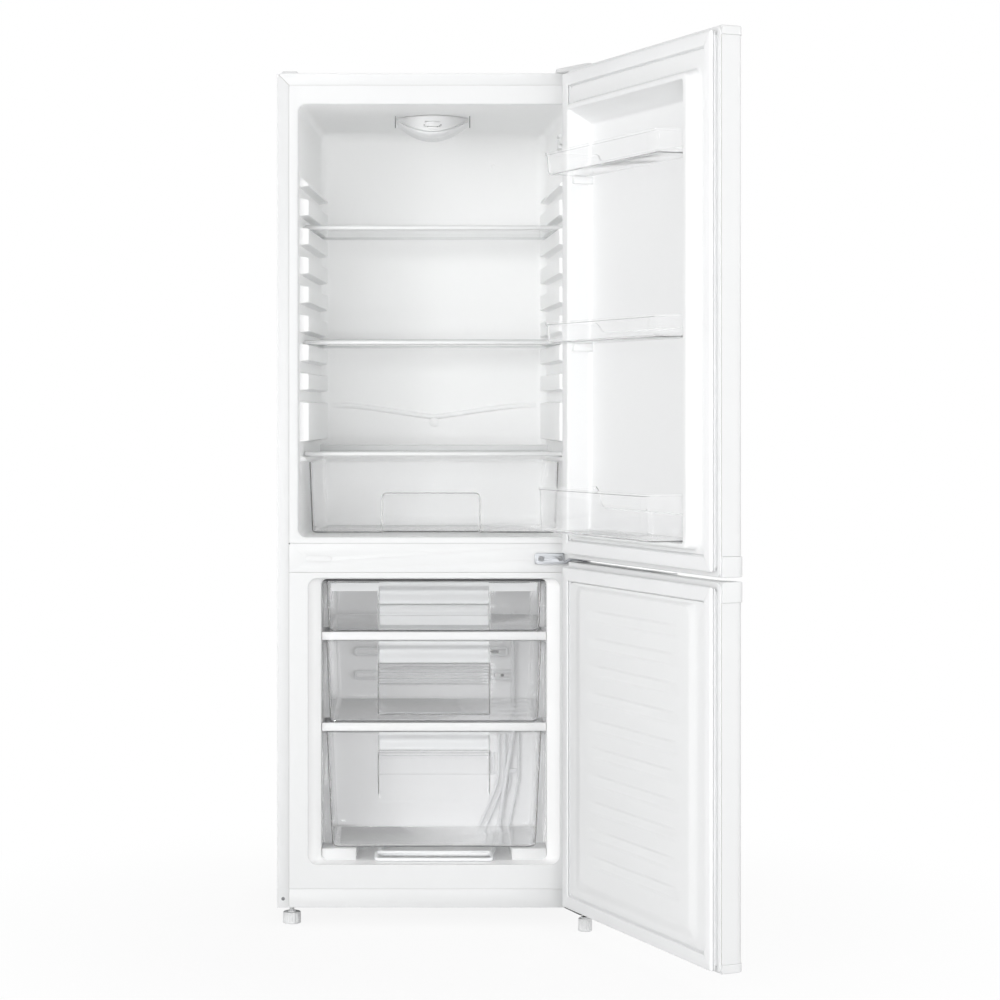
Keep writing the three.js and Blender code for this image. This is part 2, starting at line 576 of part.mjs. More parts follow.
// Refrigerant circuit at the back: compressor, condenser, drier and the lines into the freezer.
function condenserGrid() {
  const { half, bottom, top, runs, radius, y, straps, sides } = condenser;
  const pitch = (top - bottom) / (runs - 1);
  const corners = toAndFro(runs, half, pitch, (x, along) => [x, y, bottom + along]);
  const serpentine = tube(rounded(corners, pitch / 2 - 0.05), radius, sides);
  const strips = Array.from({ length: straps }, (_, i) => {
    const x = (i - (straps - 1) / 2) * half * 0.8;
    const strip = block(across(7, x), [y - 1, y + 1], [bottom - 14, top + 14]);
    const stand = (z) => block(across(5, x), [cabinet.depth - 0.3, y], across(5, z));
    return join(strip, stand(bottom - 9), stand(top + 9));
  });
  // The line from the compressor comes in at the foot, and the drier hangs from the way out.
  const lineIn = tube(rounded([[144, 408, 180], [170, 408, 180], [170, 408, 244], [-half, 408, 244],
    [-half, y, 244], [-half, y, bottom + 1]], 8), radius, sides);
  const outX = -half - 14;
  const wayOut = tube(rounded([[6 - half, y, top], [outX, y, top], [outX, y, 150], [outX, 452, 150],
    [outX, 452, 170]], 8), radius, sides);
  const drier = turned([outX, 452], [[0, 160], [2.2, 160], [9, 168], [9, 232], [2.2, 240], [0, 240]], 12);
  return join(serpentine, ...strips, lineIn, wayOut, drier);
}

add(cabinetGroup, "condenser", condenserGrid(), blackEnamel);

// ---------------------------------------------------------------- cold parts

function coolingLevel({ z, back }) {
  const { radius, half, front, runs, sides } = coolingTube;
  const pitch = (back - front) / (runs - 1);
  const corners = toAndFro(runs, half, pitch, (x, along) => [x, front + along, z]);
  return tube(rounded(corners, pitch / 2 - 0.05), radius, sides);
}

for (const level of coolingLevels) {
  add(cabinetGroup, `evaporator_${level.name}`, coolingLevel(level), tubeWhite);
  const z = level.z + rail.above;
  const foot = z - rail.height;
  const channel = [[rail.front, z], [rail.front, foot], [rail.back, foot], [rail.back, foot + 3],
    [rail.front + 3, foot + 3], [rail.front + 3, z - 3], [rail.back, z - 3], [rail.back, z]];
  add(cabinetGroup, `evaporator_rail_${level.name}`, prism("x", channel, across(rail.half)), whitePlastic);
}
add(cabinetGroup, "evaporator_floor_loop", tube(rounded([[-90, 262, 117], [-96, 48, 117], [100, 42, 117],
  [118, 271, 117], [150, 271, 330], [150, 417, 330], [150, 417, 508]], 14), 4, 6), tubeWhite);

// ---------------------------------------------------------------- thermostat, lamp and switch

const ceiling = fridge.backTop - 0.4;
const arcBelow = (half, drop, steps = 10) => Array.from({ length: steps + 1 }, (_, i) => {
  const x = half * (2 * i / steps - 1);
  return [control.centre + x, ceiling - drop * (1 - (x / half) ** 2)];
});
const dialAt = [control.centre, control.front + control.dialRadius - 1.2];
const bulbRoom = block(across(30, control.centre), [190, 282], [ceiling - 60, ceiling - 4]);

add(cabinetGroup, "control_housing", cut(
  prism("y", arcBelow(control.half, control.drop), [control.front, control.back]),
  bar("z", dialAt, [ceiling - 19, ceiling - 8], control.dialRadius + 0.8, 24), bulbRoom), whitePlastic);
const lensBottom = arcBelow(control.half * 0.8, control.drop + control.lens);
const lensTop = arcBelow(control.half * 0.8, control.drop + control.lens - 2);
add(cabinetGroup, "lamp_lens", cut(
  prism("y", lensBottom, [control.front + 14, control.back - 6]),
  prism("y", [...lensTop, [control.centre, ceiling + 9]], [control.front + 16, control.back - 8]),
  prism("y", arcBelow(control.half, control.drop + gap), [0, far]),
  block(across(far), [0, far], [ceiling - 18, ceiling + 10])), clearPlastic);
add(cabinetGroup, "lamp_bulb", join(
  solidOf(new THREE.SphereGeometry(10, 12, 8).translate(control.centre, 226, ceiling - 20)),
  bar("y", [control.centre, ceiling - 20], [230, 276], 6.5, 12)), glassSheet);
add(cabinetGroup, "thermostat_dial", join(
  bar("z", dialAt, [ceiling - 18, ceiling - 9], control.dialRadius, 24),
  bar("z", dialAt, [ceiling - 18.6, ceiling - 17], 4, 12)), whitePlastic);

add(cabinetGroup, "light_switch_button", block(across(lightSwitch.half, lightSwitch.x),
  [lightSwitch.front, lightSwitch.back], across(lightSwitch.rise, lightSwitch.z)), whitePlastic);

// ---------------------------------------------------------------- shelves

const shelfHalfAt = (y) =>
  shelf.frontHalf - (shelf.frontHalf - shelf.backHalf) * (y - shelf.front) / (shelf.back - shelf.front);
const shelfPlan = (y0, y1, inset = 0) => [
  [-shelfHalfAt(y0) + inset, y0], [shelfHalfAt(y0) - inset, y0],
  [shelfHalfAt(y1) - inset, y1], [-shelfHalfAt(y1) + inset, y1],
];

function glassShelf(name, level) {
  const floor = level + gap;
  const glassZ = [floor + 2, floor + 2 + shelf.glass];
  const { front, back, trimHeight, trimDepth, backTrimHeight } = shelf;
  const slot = prism("z", shelfPlan(front + 4, back - 3, 1.2), [glassZ[0] - gap, glassZ[1] + gap]);
  add(cabinetGroup, name, prism("z", shelfPlan(front + 4 + gap, back - 3 - gap, 1.6), glassZ), glassSheet);
  const behindTrim = front + trimDepth;
  const beforeLip = back - shelf.backTrimDepth;
  const overRunners = block(across(far), [behindTrim, beforeLip], [floor + shelf.runner, 2 * far]);
  const overTrim = block(across(far), [front - 1, behindTrim], [floor + trimHeight, 2 * far]);
  const opening = prism("z", shelfPlan(behindTrim, beforeLip, 5), [floor - 1, floor + 5]);
  add(cabinetGroup, `${name}_frame`, cut(prism("z", shelfPlan(front, back), [floor, floor + backTrimHeight]),
    overRunners, overTrim, opening, slot), whitePlastic);
}

shelf.levels.forEach((level, i) => glassShelf(`glass_shelf_${i ? "lower" : "upper"}`, level));
glassShelf("crisper_cover", shelf.coverLevel);

// ---------------------------------------------------------------- drawers

// An open-topped tray between two heights, with plan spans at its floor and at its rim.
function tray([z0, z1], low, high, wall, radius) {
  const inset = ([p, q]) => [p + wall, q - wall];
  return {
    outside: loft("z", [{ at: z0, ...low, r: radius }, { at: z1, ...high, r: radius }]),
    inside: loft("z", [
      { at: z0 + wall, a: inset(low.a), b: inset(low.b), r: radius - wall / 2 },
      { at: z1 + 0.01, a: inset(high.a), b: inset(high.b), r: radius - wall / 2 },
    ]),
  };
}

function freezerDrawer({ name, bottom, top, half, taper, back, pull }) {
  const { front, wall, pullHalf, pullDepth, lip } = drawer;
  const { outside, inside } = tray([bottom, top], { a: across(half - taper), b: [front + 2, back - 5] },
    { a: across(half), b: [front, back] }, wall, 7);
  const low = Math.max(top - pull, bottom + 6);
  const recess = block(across(pullHalf), [0, front + pullDepth], [low, top - lip]);
  const recessWall = block(across(pullHalf + wall), [0, front + pullDepth + wall], [low - wall, top + 1]);
  add(cabinetGroup, `freezer_drawer_${name}`, cut(outside, cut(inside, recessWall), recess), clearPlastic);
}

freezerDrawers.forEach(freezerDrawer);

function crisperDrawer() {
  const { front, back, bottom, top, topHalf, wall, taper, backNarrower, pull } = crisper;
  // The plan narrows towards the back, as the room does.
  const outline = (z0, z1, inset) => {
    const plan = (half) => [[-half + inset, front + inset], [half - inset, front + inset],
      [half - backNarrower - inset, back - inset], [-half + backNarrower + inset, back - inset]];
    const [low, high] = [plan(topHalf - taper), plan(topHalf)];
    const positions = [...low.map(([x, y]) => [x, y, z0]), ...high.map(([x, y]) => [x, y, z1])].flat();
    const index = [0, 2, 1, 0, 3, 2, 4, 5, 6, 4, 6, 7];
    for (let i = 0; i < 4; i++) {
      const j = (i + 1) % 4;
      index.push(i, j, j + 4, i, j + 4, i + 4);
    }
    const geometry = new THREE.BufferGeometry();
    geometry.setAttribute("position", new THREE.Float32BufferAttribute(positions, 3));
    geometry.setIndex(index);
    return solidOf(geometry);
  };
  const recess = prism("y", roundedRectangle([pull.left, pull.right], [bottom - 20, pull.top], 8, 3),
    [0, front + pull.depth]);
  const recessWall = prism("y", roundedRectangle([pull.left - wall, pull.right + wall],
    [bottom - 20, pull.top + wall], 8 + wall, 3), [0, front + pull.depth + wall]);
  return cut(outline(bottom, top, 0), cut(outline(bottom + wall, top + 0.01, wall), recessWall), recess);
}

add(cabinetGroup, "crisper_drawer", crisperDrawer(), clearPlastic);

// ---------------------------------------------------------------- doors

// Each door is built closed, in a frame whose origin is its hinge axis, and the frame stands open.
function doorFrame() {
  const frame = new THREE.Group();
  frame.position.set(hinge.x, hinge.y, 0);
  frame.rotation.z = THREE.MathUtils.degToRad(hinge.openDegrees);
  const closed = new THREE.Group();
  closed.position.set(-hinge.x, -hinge.y, 0);
  frame.add(closed);
  refrigerator.add(frame);
  return closed;
}

const linerBack = door.rim - door.linerWall - gap;

// Plan of the door's body, with its two front edges rounded.
function doorPlan(inset, back) {
  const half = door.half - inset;
  const radius = door.edgeRadius - inset;
  const front = door.front + inset;
  const arc = (centre, from) => Array.from({ length: 5 }, (_, i) => {
    const angle = (from + 90 * i / 4) * Math.PI / 180;
    return [centre + radius * Math.cos(angle), front + radius + radius * Math.sin(angle)];
  });
  return [[half, back], [-half, back], ...arc(-half + radius, 180), ...arc(half - radius, 270)];
}

const bush = { radius: 8, bore: hinge.pin + 0.4, depth: 10 };

// A cap over one end of the door. A grip cap is scooped out along the edge next to the gap.
function doorCap([z0, z1], pinSpan, gripEdge) {
  const proud = gripEdge === undefined ? door.capProud / 2 : door.capProud;
  const cap = cut(prism("z", doorPlan(-proud, linerBack), [z0, z1]),
    bar("z", pinAt, pinSpan, bush.bore, 16));
  if (gripEdge === undefined) return cap;
  return cut(cap, bar("x", [door.front - 4, gripEdge], grip.span, grip.radius, 20));
}

function gasketRing([z0, z1]) {
  const band = (inner, outer, [y0, y1]) => cut(
    loft("y", [y0, y1].map((at) => ({ at, a: across(outer), b: [z0 - outer + door.gasketOuter,
      z1 + outer - door.gasketOuter], r: 6 }))),
    loft("y", [y0 - 1, y1 + 1].map((at) => ({ at, a: across(inner),
      b: [z0 + door.gasketOuter - inner, z1 - door.gasketOuter + inner], r: 2 }))));
  const start = door.rim + gap;
  return join(band(door.gasketInner + 5, door.gasketOuter - 6, [start, start + 6]),
    band(door.gasketInner, door.gasketOuter, [start + 5.9, door.rim + door.gasketThick]));
}

// The land that both liners have inside the gasket, as the first sections of a raised form.
const landSections = ([z0, z1], shrink, back) => [back, door.rim + land.height - shrink].map((at) => ({ at,
  a: across(land.half - shrink), b: [z0 + land.inset + shrink, z1 - land.inset - shrink], r: land.radius }));

// The raised ring of the upper door's liner, and the pan that it surrounds.
const ringForm = (shrink, back) => loft("y", [
  ...landSections(gasketSpans.upper, shrink, back),
  { at: door.rim + land.height + 0.2 - shrink, a: across(ring.baseHalf - shrink),
    b: [ring.baseBottom + shrink, ring.baseTop - shrink], r: 16 },
  { at: ring.crest - 6 - shrink / 2, a: across(ring.crestHalf + 3 - shrink),
    b: [ring.crestBottom - 2 + shrink, ring.crestTop + 3 - shrink], r: 16 },
  { at: ring.crest - shrink, a: across(ring.crestHalf - 3 - shrink / 2),
    b: [ring.crestBottom + 2 + shrink / 2, ring.crestTop - 3 - shrink / 2], r: 12 },
]);
const panForm = (grow) => {
  const bottom = ring.panBottom - grow;
  const mouth = { a: across(ring.mouthHalf + grow), b: [bottom, ring.mouthTop + grow], r: 4 };
  return loft("y", [
    { at: ring.pan - grow, a: across(ring.panHalf + grow), b: [bottom, ring.panTop + grow], r: 4 },
    { at: ring.crest, ...mouth },
    { at: ring.crest + 5, ...mouth },
  ]);
};
const inFrontOf = (y) => block(across(far), [y, far], [0, 2 * far]);

const rimPlate = ([z0, z1]) => block(across(door.half - 1.4), [door.rim - door.linerWall, door.rim],
  [z0 + 1.4, z1 - 1.4]);

function upperLiner() {
  const wall = door.linerWall;
  const pan = cut(panForm(wall), inFrontOf(door.rim - 1));
  const body = join(rimPlate([upperDoor.bottom, upperDoor.top]), ringForm(0, door.rim - wall), pan);
  const hollow = cut(ringForm(wall, door.rim - wall - 5), panForm(wall));
  const binLedges = bins.flatMap(({ bottom }) => [-1, 1].map((side) =>
    block(across(4.5, side * (ring.panHalf - 3.5)), [ring.pan - 0.5, 8],
      [Math.max(bottom - 12, ring.panBottom - 1), bottom - gap])));
  return join(cut(body, hollow, panForm(0)), ...binLedges);
}

const plugForm = (shrink, back) => loft("y", [
  ...landSections(gasketSpans.lower, shrink, back),
  { at: door.rim + land.height + 0.2 - shrink, a: across(plug.baseHalf - shrink),
    b: [plug.baseBottom + shrink, plug.baseTop - shrink], r: 14 },
  { at: door.rim + plug.height - shrink, a: across(plug.half - shrink),
    b: [plug.bottom + shrink, plug.top - shrink], r: 14 },
]);

function lowerLiner() {
  const wall = door.linerWall + 1;
  const face = door.rim + plug.height;
  const middle = (plug.bottom + plug.top) / 2;
  const lens = (z) => {
    const edge = (sign) => Array.from({ length: 6 }, (_, i) => {
      const t = 2 * i / 6 - 1;
      return [sign * t * plug.grooveHalf, z + sign * plug.grooveRise * (1 - t * t)];
    });
    return prism("y", [...edge(1), ...edge(-1)], [face - plug.grooveDepth, face + 1]);
  };
  const grooves = Array.from({ length: plug.grooves }, (_, i) =>
    lens(middle + (i - (plug.grooves - 1) / 2) * plug.groovePitch));
  return cut(join(rimPlate([lowerDoor.bottom, lowerDoor.top]), plugForm(0, door.rim - door.linerWall)),
    plugForm(wall, door.rim - door.linerWall - 5), ...grooves);
}

// Skin, foam, caps, bushes and gasket, which both doors have.
function doorBody(group, name, { bottom, top, bottomCap, topCap }, filling, gripAtBottom, gasketSpan) {
  const skinSpan = [bottom + bottomCap + gap, top - topCap - gap];
  add(group, `${name}_skin`, cut(prism("z", doorPlan(0, linerBack), skinSpan),
    prism("z", doorPlan(door.sheet, far), [0, 2 * far])), whiteSteel);
  const foamBlock = prism("z", doorPlan(door.sheet + gap, linerBack), skinSpan);
  add(group, `${name}_foam`, filling(foamBlock), foamYellow);
  const caps = [
    { part: "bottom", span: [bottom, bottom + bottomCap], pinSpan: [bottom - 1, bottom + bush.depth],
      gripEdge: gripAtBottom ? bottom : undefined },
    { part: "top", span: [top - topCap, top], pinSpan: [top - bush.depth, top + 1],
      gripEdge: gripAtBottom ? undefined : top },
  ];
  for (const { part, span, pinSpan, gripEdge } of caps) {
    add(group, `${name}_${part}_cap`, doorCap(span, pinSpan, gripEdge), whitePlastic);
  }
  add(group, `${name}_gasket`, gasketRing(gasketSpan), rubberWhite);
}

const upper = doorFrame();
const wallWithGap = door.linerWall + gap;
doorBody(upper, "upper_door", upperDoor, (foam) => cut(
  join(foam, ringForm(wallWithGap, door.rim - wallWithGap - 1)), panForm(wallWithGap)), true, gasketSpans.upper);
add(upper, "upper_door_liner", upperLiner(), liningPlastic);

const lower = doorFrame();
doorBody(lower, "lower_door", lowerDoor, (foam) => join(foam,
  plugForm(door.linerWall + 1 + gap, door.rim - wallWithGap - 1)), false, gasketSpans.lower);
add(lower, "lower_door_liner", lowerLiner(), liningPlastic);

// Clear bins that hang between the sides of the ring. The back of each is low in the middle.
function doorBin({ name, bottom, top, reach }) {
  const { outside, inside } = tray([bottom, top], { a: across(bin.half), b: [bin.back, reach - 3] },
    { a: across(bin.half), b: [bin.back, reach] }, bin.wall, 8);
  const notch = block(across(bin.notchHalf), [bin.back - 1, bin.back + 6],
    [top - (top - bottom) * bin.notch, top + 1]);
  add(upper, `door_bin_${name}`, cut(outside, inside, notch), clearPlastic);
}

bins.forEach(doorBin);

// ---------------------------------------------------------------- placing

// The origin is the middle of the footprint of the assembly with its doors open, on the floor.
refrigerator.updateMatrixWorld(true);
const bounds = new THREE.Box3().setFromObject(refrigerator, true);
const footprint = bounds.getCenter(new THREE.Vector3()).setZ(bounds.min.z);
refrigerator.children.forEach((child) => child.position.sub(footprint));

export default refrigerator;
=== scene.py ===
import bmesh
import bpy
import json
import math
from mathutils import Matrix, Vector


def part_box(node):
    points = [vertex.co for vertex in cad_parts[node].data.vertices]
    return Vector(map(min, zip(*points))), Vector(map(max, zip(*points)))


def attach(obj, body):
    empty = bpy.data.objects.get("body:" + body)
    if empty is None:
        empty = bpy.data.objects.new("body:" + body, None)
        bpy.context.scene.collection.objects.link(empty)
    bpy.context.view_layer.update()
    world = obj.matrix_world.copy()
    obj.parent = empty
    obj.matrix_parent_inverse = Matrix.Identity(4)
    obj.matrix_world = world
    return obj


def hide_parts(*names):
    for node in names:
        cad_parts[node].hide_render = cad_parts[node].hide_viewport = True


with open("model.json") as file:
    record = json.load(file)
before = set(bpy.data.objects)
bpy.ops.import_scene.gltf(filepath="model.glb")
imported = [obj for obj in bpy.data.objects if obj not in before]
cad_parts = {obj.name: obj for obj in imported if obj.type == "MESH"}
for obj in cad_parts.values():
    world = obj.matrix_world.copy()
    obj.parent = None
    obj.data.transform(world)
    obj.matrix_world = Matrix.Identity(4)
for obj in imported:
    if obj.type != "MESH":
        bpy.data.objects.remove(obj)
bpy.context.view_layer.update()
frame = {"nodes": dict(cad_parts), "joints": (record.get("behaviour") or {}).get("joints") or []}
nodes = frame["nodes"]
joints = {joint["name"]: joint for joint in frame["joints"]}

# Shapes are written in millimetres in the cabinet's own frame: x to the right from its middle,
# y into it from the plane of the front flange, z up from the floor. Doors are written closed.
shellLow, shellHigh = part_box("outer_shell")
cabinetOrigin = Vector(((shellLow.x + shellHigh.x) / 2, shellLow.y, 0))
hingePoint = Vector((*joints["upper_door_hinge"]["pos_m"][:2], 0))
doorAngle = math.radians(-joints["upper_door_hinge"]["range_deg"][0])
inCabinet = Matrix.Translation(cabinetOrigin) @ Matrix.Scale(0.001, 4)
inDoor = (Matrix.Translation(hingePoint) @ Matrix.Rotation(doorAngle, 4, "Z")
          @ Matrix.Translation(-hingePoint) @ inCabinet)


# The eye is in millimetres, and the lens is in pixels of the picture.
view = {"eye": (0, -4291, 893), "focal": 2471, "middle": (434, 411.3), "picture": 1000, "sensor": 36,
        "farEnd": 100}

cameraData = bpy.data.cameras.new("camera")
cameraData.sensor_width = view["sensor"]
cameraData.lens = view["sensor"] * view["focal"] / view["picture"]
cameraData.shift_x = 0.5 - view["middle"][0] / view["picture"]
cameraData.shift_y = view["middle"][1] / view["picture"] - 0.5
cameraData.clip_end = view["farEnd"]
camera = bpy.data.objects.new("camera", cameraData)
camera.location = inCabinet @ Vector(view["eye"])
camera.rotation_euler = (math.pi / 2, 0, 0)
bpy.context.scene.collection.objects.link(camera)
bpy.context.scene.camera = camera

studio = {
    "world": 0.44,
    "lamps": [  # place, what it points at, size, watts
        {"name": "keySoftbox", "at": (-1.6, -4.4, 2.1), "to": (-0.1, 0.2, 0.8), "size": 2.6, "power": 68},
        {"name": "fillSoftbox", "at": (1.3, -4.3, 0.3), "to": (-0.1, 0.2, 0.9), "size": 2.2, "power": 67},
        {"name": "leftSoftbox", "at": (-3.1, -3.6, 0.8), "to": (0.0, 0.1, 0.8), "size": 2.6, "power": 70},
        {"name": "rightSoftbox", "at": (4.0, -0.6, 2.0), "to": (0.0, 0.1, 0.8), "size": 2.6, "power": 50},
        {"name": "rearSoftbox", "at": (0.6, 4.4, 2.2), "to": (-0.1, 0.4, 0.8), "size": 2.6, "power": 66},
    ],
    "floorSize": 60, "floorColor": (0.88, 0.88, 0.88, 1), "shadowFade": (0.42, 1.2), "paperWhite": 0.9,
}
bpy.context.scene.view_settings.view_transform = "Standard"


def mathNode(tree, operation, first, second):
    node = tree.nodes.new("ShaderNodeMath")
    node.operation = operation
    tree.links.new(first, node.inputs[0])
    tree.links.new(second, node.inputs[1])
    return node.outputs[0]


# White to the eye, in glass and in gloss, and dimmer where it lights a surface.
def buildWorld():
    world = bpy.data.worlds.new("studio")
    bpy.context.scene.world = world
    world.use_nodes = True
    tree = world.node_tree
    background = tree.nodes["Background"]
    background.inputs["Color"].default_value = (1, 1, 1, 1)
    rays = tree.nodes.new("ShaderNodeLightPath").outputs
    seen = mathNode(tree, "MAXIMUM", rays["Is Camera Ray"], rays["Is Transmission Ray"])
    seenOrMirrored = mathNode(tree, "MAXIMUM", seen, rays["Is Glossy Ray"])
    strength = tree.nodes.new("ShaderNodeMapRange")
    strength.inputs["To Min"].default_value = studio["world"]
    strength.inputs["To Max"].default_value = 1
    tree.links.new(seenOrMirrored, strength.inputs["Value"])
    tree.links.new(strength.outputs["Result"], background.inputs["Strength"])


def buildLamps():
    for lamp in studio["lamps"]:
        data = bpy.data.lights.new(lamp["name"], "AREA")
        data.shape = "DISK"
        data.size = lamp["size"]
        data.energy = lamp["power"]
        light = bpy.data.objects.new(lamp["name"], data)
        light.location = lamp["at"]
        aim = Vector(lamp["to"]) - Vector(lamp["at"])
        light.rotation_euler = aim.to_track_quat("-Z", "Y").to_euler()
        bpy.context.scene.collection.objects.link(light)


# Paper that takes the shadow near the object and fades to plain white further out.
def buildFloor():
    half = studio["floorSize"] / 2
    mesh = bpy.data.meshes.new("floor")
    corners = [(-half, -half, 0), (half, -half, 0), (half, half, 0), (-half, half, 0)]
    mesh.from_pydata(corners, [], [(0, 1, 2, 3)])
    floor = bpy.data.objects.new("floor", mesh)
    bpy.context.scene.collection.objects.link(floor)
    material = bpy.data.materials.new("palePaper")
    material.use_nodes = True
    mesh.materials.append(material)
    tree = material.node_tree
    tree.nodes.clear()
    link = tree.links.new
    output = tree.nodes.new("ShaderNodeOutputMaterial")
    paper = tree.nodes.new("ShaderNodeBsdfDiffuse")
    paper.inputs["Color"].default_value = studio["floorColor"]
    white = tree.nodes.new("ShaderNodeEmission")
    mix = tree.nodes.new("ShaderNodeMixShader")
    place = tree.nodes.new("ShaderNodeTexCoord")
    length = tree.nodes.new("ShaderNodeVectorMath")
    length.operation = "LENGTH"
    fade = tree.nodes.new("ShaderNodeMapRange")
    fade.interpolation_type = "SMOOTHSTEP"
    fade.inputs["From Min"].default_value = studio["shadowFade"][0]
    fade.inputs["From Max"].default_value = studio["shadowFade"][1]
    fade.inputs["To Min"].default_value = studio["paperWhite"]
    rays = tree.nodes.new("ShaderNodeLightPath")
    link(place.outputs["Object"], length.inputs[0])
    link(length.outputs["Value"], fade.inputs["Value"])
    link(mathNode(tree, "MULTIPLY", fade.outputs["Result"], rays.outputs["Is Camera Ray"]), mix.inputs["Fac"])
    link(paper.outputs[0], mix.inputs[1])
    link(white.outputs[0], mix.inputs[2])
    link(mix.outputs[0], output.inputs["Surface"])


buildWorld()
buildLamps()
buildFloor()
print("studio done")


# An effect that several finishes share is a node group with named inputs and outputs.
def newGroup(name, inputs, outputs):
    group = bpy.data.node_groups.new(name, "ShaderNodeTree")
    for title, kind, value in inputs:
        socket = group.interface.new_socket(title, in_out="INPUT", socket_type=kind)
        socket.default_value = value
    for title, kind in outputs:
        group.interface.new_socket(title, in_out="OUTPUT", socket_type=kind)
    start = group.nodes.new("NodeGroupInput")
    end = group.nodes.new("NodeGroupOutput")
    return group, start, end


# Fine ripple of a sprayed or moulded skin.
def makeRipple():
    inputs = [("Size", "NodeSocketFloat", 300.0), ("Depth", "NodeSocketFloat", 0.05)]
    group, start, end = newGroup("ripple", inputs, [("Normal", "NodeSocketVector")])
    link = group.links.new
    place = group.nodes.new("ShaderNodeTexCoord")
    noise = group.nodes.new("ShaderNodeTexNoise")
    noise.inputs["Detail"].default_value = 2
    bump = group.nodes.new("ShaderNodeBump")
    bump.inputs["Distance"].default_value = 0.0004
    link(place.outputs["Object"], noise.inputs["Vector"])
    link(start.outputs["Size"], noise.inputs["Scale"])
    link(noise.outputs["Fac"], bump.inputs["Height"])
    link(start.outputs["Depth"], bump.inputs["Strength"])
    link(bump.outputs["Normal"], end.inputs["Normal"])
    return group


# Slow drift between two tones, as of handling, dust or plating.
def makeDrift():
    group, start, end = newGroup("drift", [
        ("Size", "NodeSocketFloat", 4.0), ("First", "NodeSocketColor", (0.9, 0.9, 0.9, 1)),
        ("Second", "NodeSocketColor", (0.85, 0.85, 0.85, 1)), ("Smooth", "NodeSocketFloat", 0.3),
        ("Rough", "NodeSocketFloat", 0.4)],
        [("Color", "NodeSocketColor"), ("Roughness", "NodeSocketFloat")])
    link = group.links.new
    place = group.nodes.new("ShaderNodeTexCoord")
    noise = group.nodes.new("ShaderNodeTexNoise")
    noise.inputs["Detail"].default_value = 3
    ramp = group.nodes.new("ShaderNodeMapRange")
    ramp.interpolation_type = "SMOOTHSTEP"
    ramp.inputs["From Min"].default_value = 0.2
    ramp.inputs["From Max"].default_value = 0.8
    tone = group.nodes.new("ShaderNodeMix")
    tone.data_type = "RGBA"
    rough = group.nodes.new("ShaderNodeMapRange")
    link(place.outputs["Object"], noise.inputs["Vector"])
    link(start.outputs["Size"], noise.inputs["Scale"])
    link(noise.outputs["Fac"], ramp.inputs["Value"])
    link(ramp.outputs["Result"], tone.inputs["Factor"])
    link(start.outputs["First"], tone.inputs[6])
    link(start.outputs["Second"], tone.inputs[7])
    link(ramp.outputs["Result"], rough.inputs["Value"])
    link(start.outputs["Smooth"], rough.inputs["To Min"])
    link(start.outputs["Rough"], rough.inputs["To Max"])
    link(tone.outputs[2], end.inputs["Color"])
    link(rough.outputs["Result"], end.inputs["Roughness"])
    return group


ripple = makeRipple()
drift = makeDrift()


def placeGroup(tree, group, values):
    node = tree.nodes.new("ShaderNodeGroup")
    node.node_tree = group
    for title, value in values.items():
        node.inputs[title].default_value = value
    return node


# What every finish starts from: two close tones, a gloss that drifts with handling and a fine ripple.
def newFinish(name, first, second, smooth, rough, driftSize, rippleSize, rippleDepth):
    material = bpy.data.materials.new(name)
    material.use_nodes = True
    tree = material.node_tree
    shader = tree.nodes["Principled BSDF"]
    tones = placeGroup(tree, drift, {"Size": driftSize, "First": (*first, 1), "Second": (*second, 1),
                                     "Smooth": smooth, "Rough": rough})
    skin = placeGroup(tree, ripple, {"Size": rippleSize, "Depth": rippleDepth})
    tree.links.new(tones.outputs["Color"], shader.inputs["Base Color"])
    tree.links.new(tones.outputs["Roughness"], shader.inputs["Roughness"])
    tree.links.new(skin.outputs["Normal"], shader.inputs["Normal"])
    return material, shader


def opaqueFinish(name, first, second, smooth, rough, rippleSize, rippleDepth, driftSize=4.0, metallic=0.0,
                 gloss=0.5):
    material, shader = newFinish(name, first, second, smooth, rough, driftSize, rippleSize, rippleDepth)
    shader.inputs["Metallic"].default_value = metallic
    shader.inputs["Specular IOR Level"].default_value = gloss
    return material


# A clear finish, which lamps and soft room light pass without being bent.
def clearFinish(name, color, smooth, rough, ior, passes, through=1.0, rippleSize=60.0, rippleDepth=0.03,
                driftSize=9.0, driftShade=0.985):
    second = [tone * driftShade for tone in color]
    material, shader = newFinish(name, color, second, smooth, rough, driftSize, rippleSize, rippleDepth)
    shader.inputs["Metallic"].default_value = 0
    shader.inputs["Transmission Weight"].default_value = through
    shader.inputs["IOR"].default_value = ior
    tree = material.node_tree
    link = tree.links.new
    rays = tree.nodes.new("ShaderNodeLightPath")
    passing = tree.nodes.new("ShaderNodeBsdfTransparent")
    passing.inputs["Color"].default_value = (*passes, 1)
    surface = shader.outputs[0]
    for ray in ("Is Shadow Ray", "Is Diffuse Ray"):
        mix = tree.nodes.new("ShaderNodeMixShader")
        link(rays.outputs[ray], mix.inputs["Fac"])
        link(surface, mix.inputs[1])
        link(passing.outputs[0], mix.inputs[2])
        surface = mix.outputs[0]
    link(surface, tree.nodes["Material Output"].inputs["Surface"])
    return material


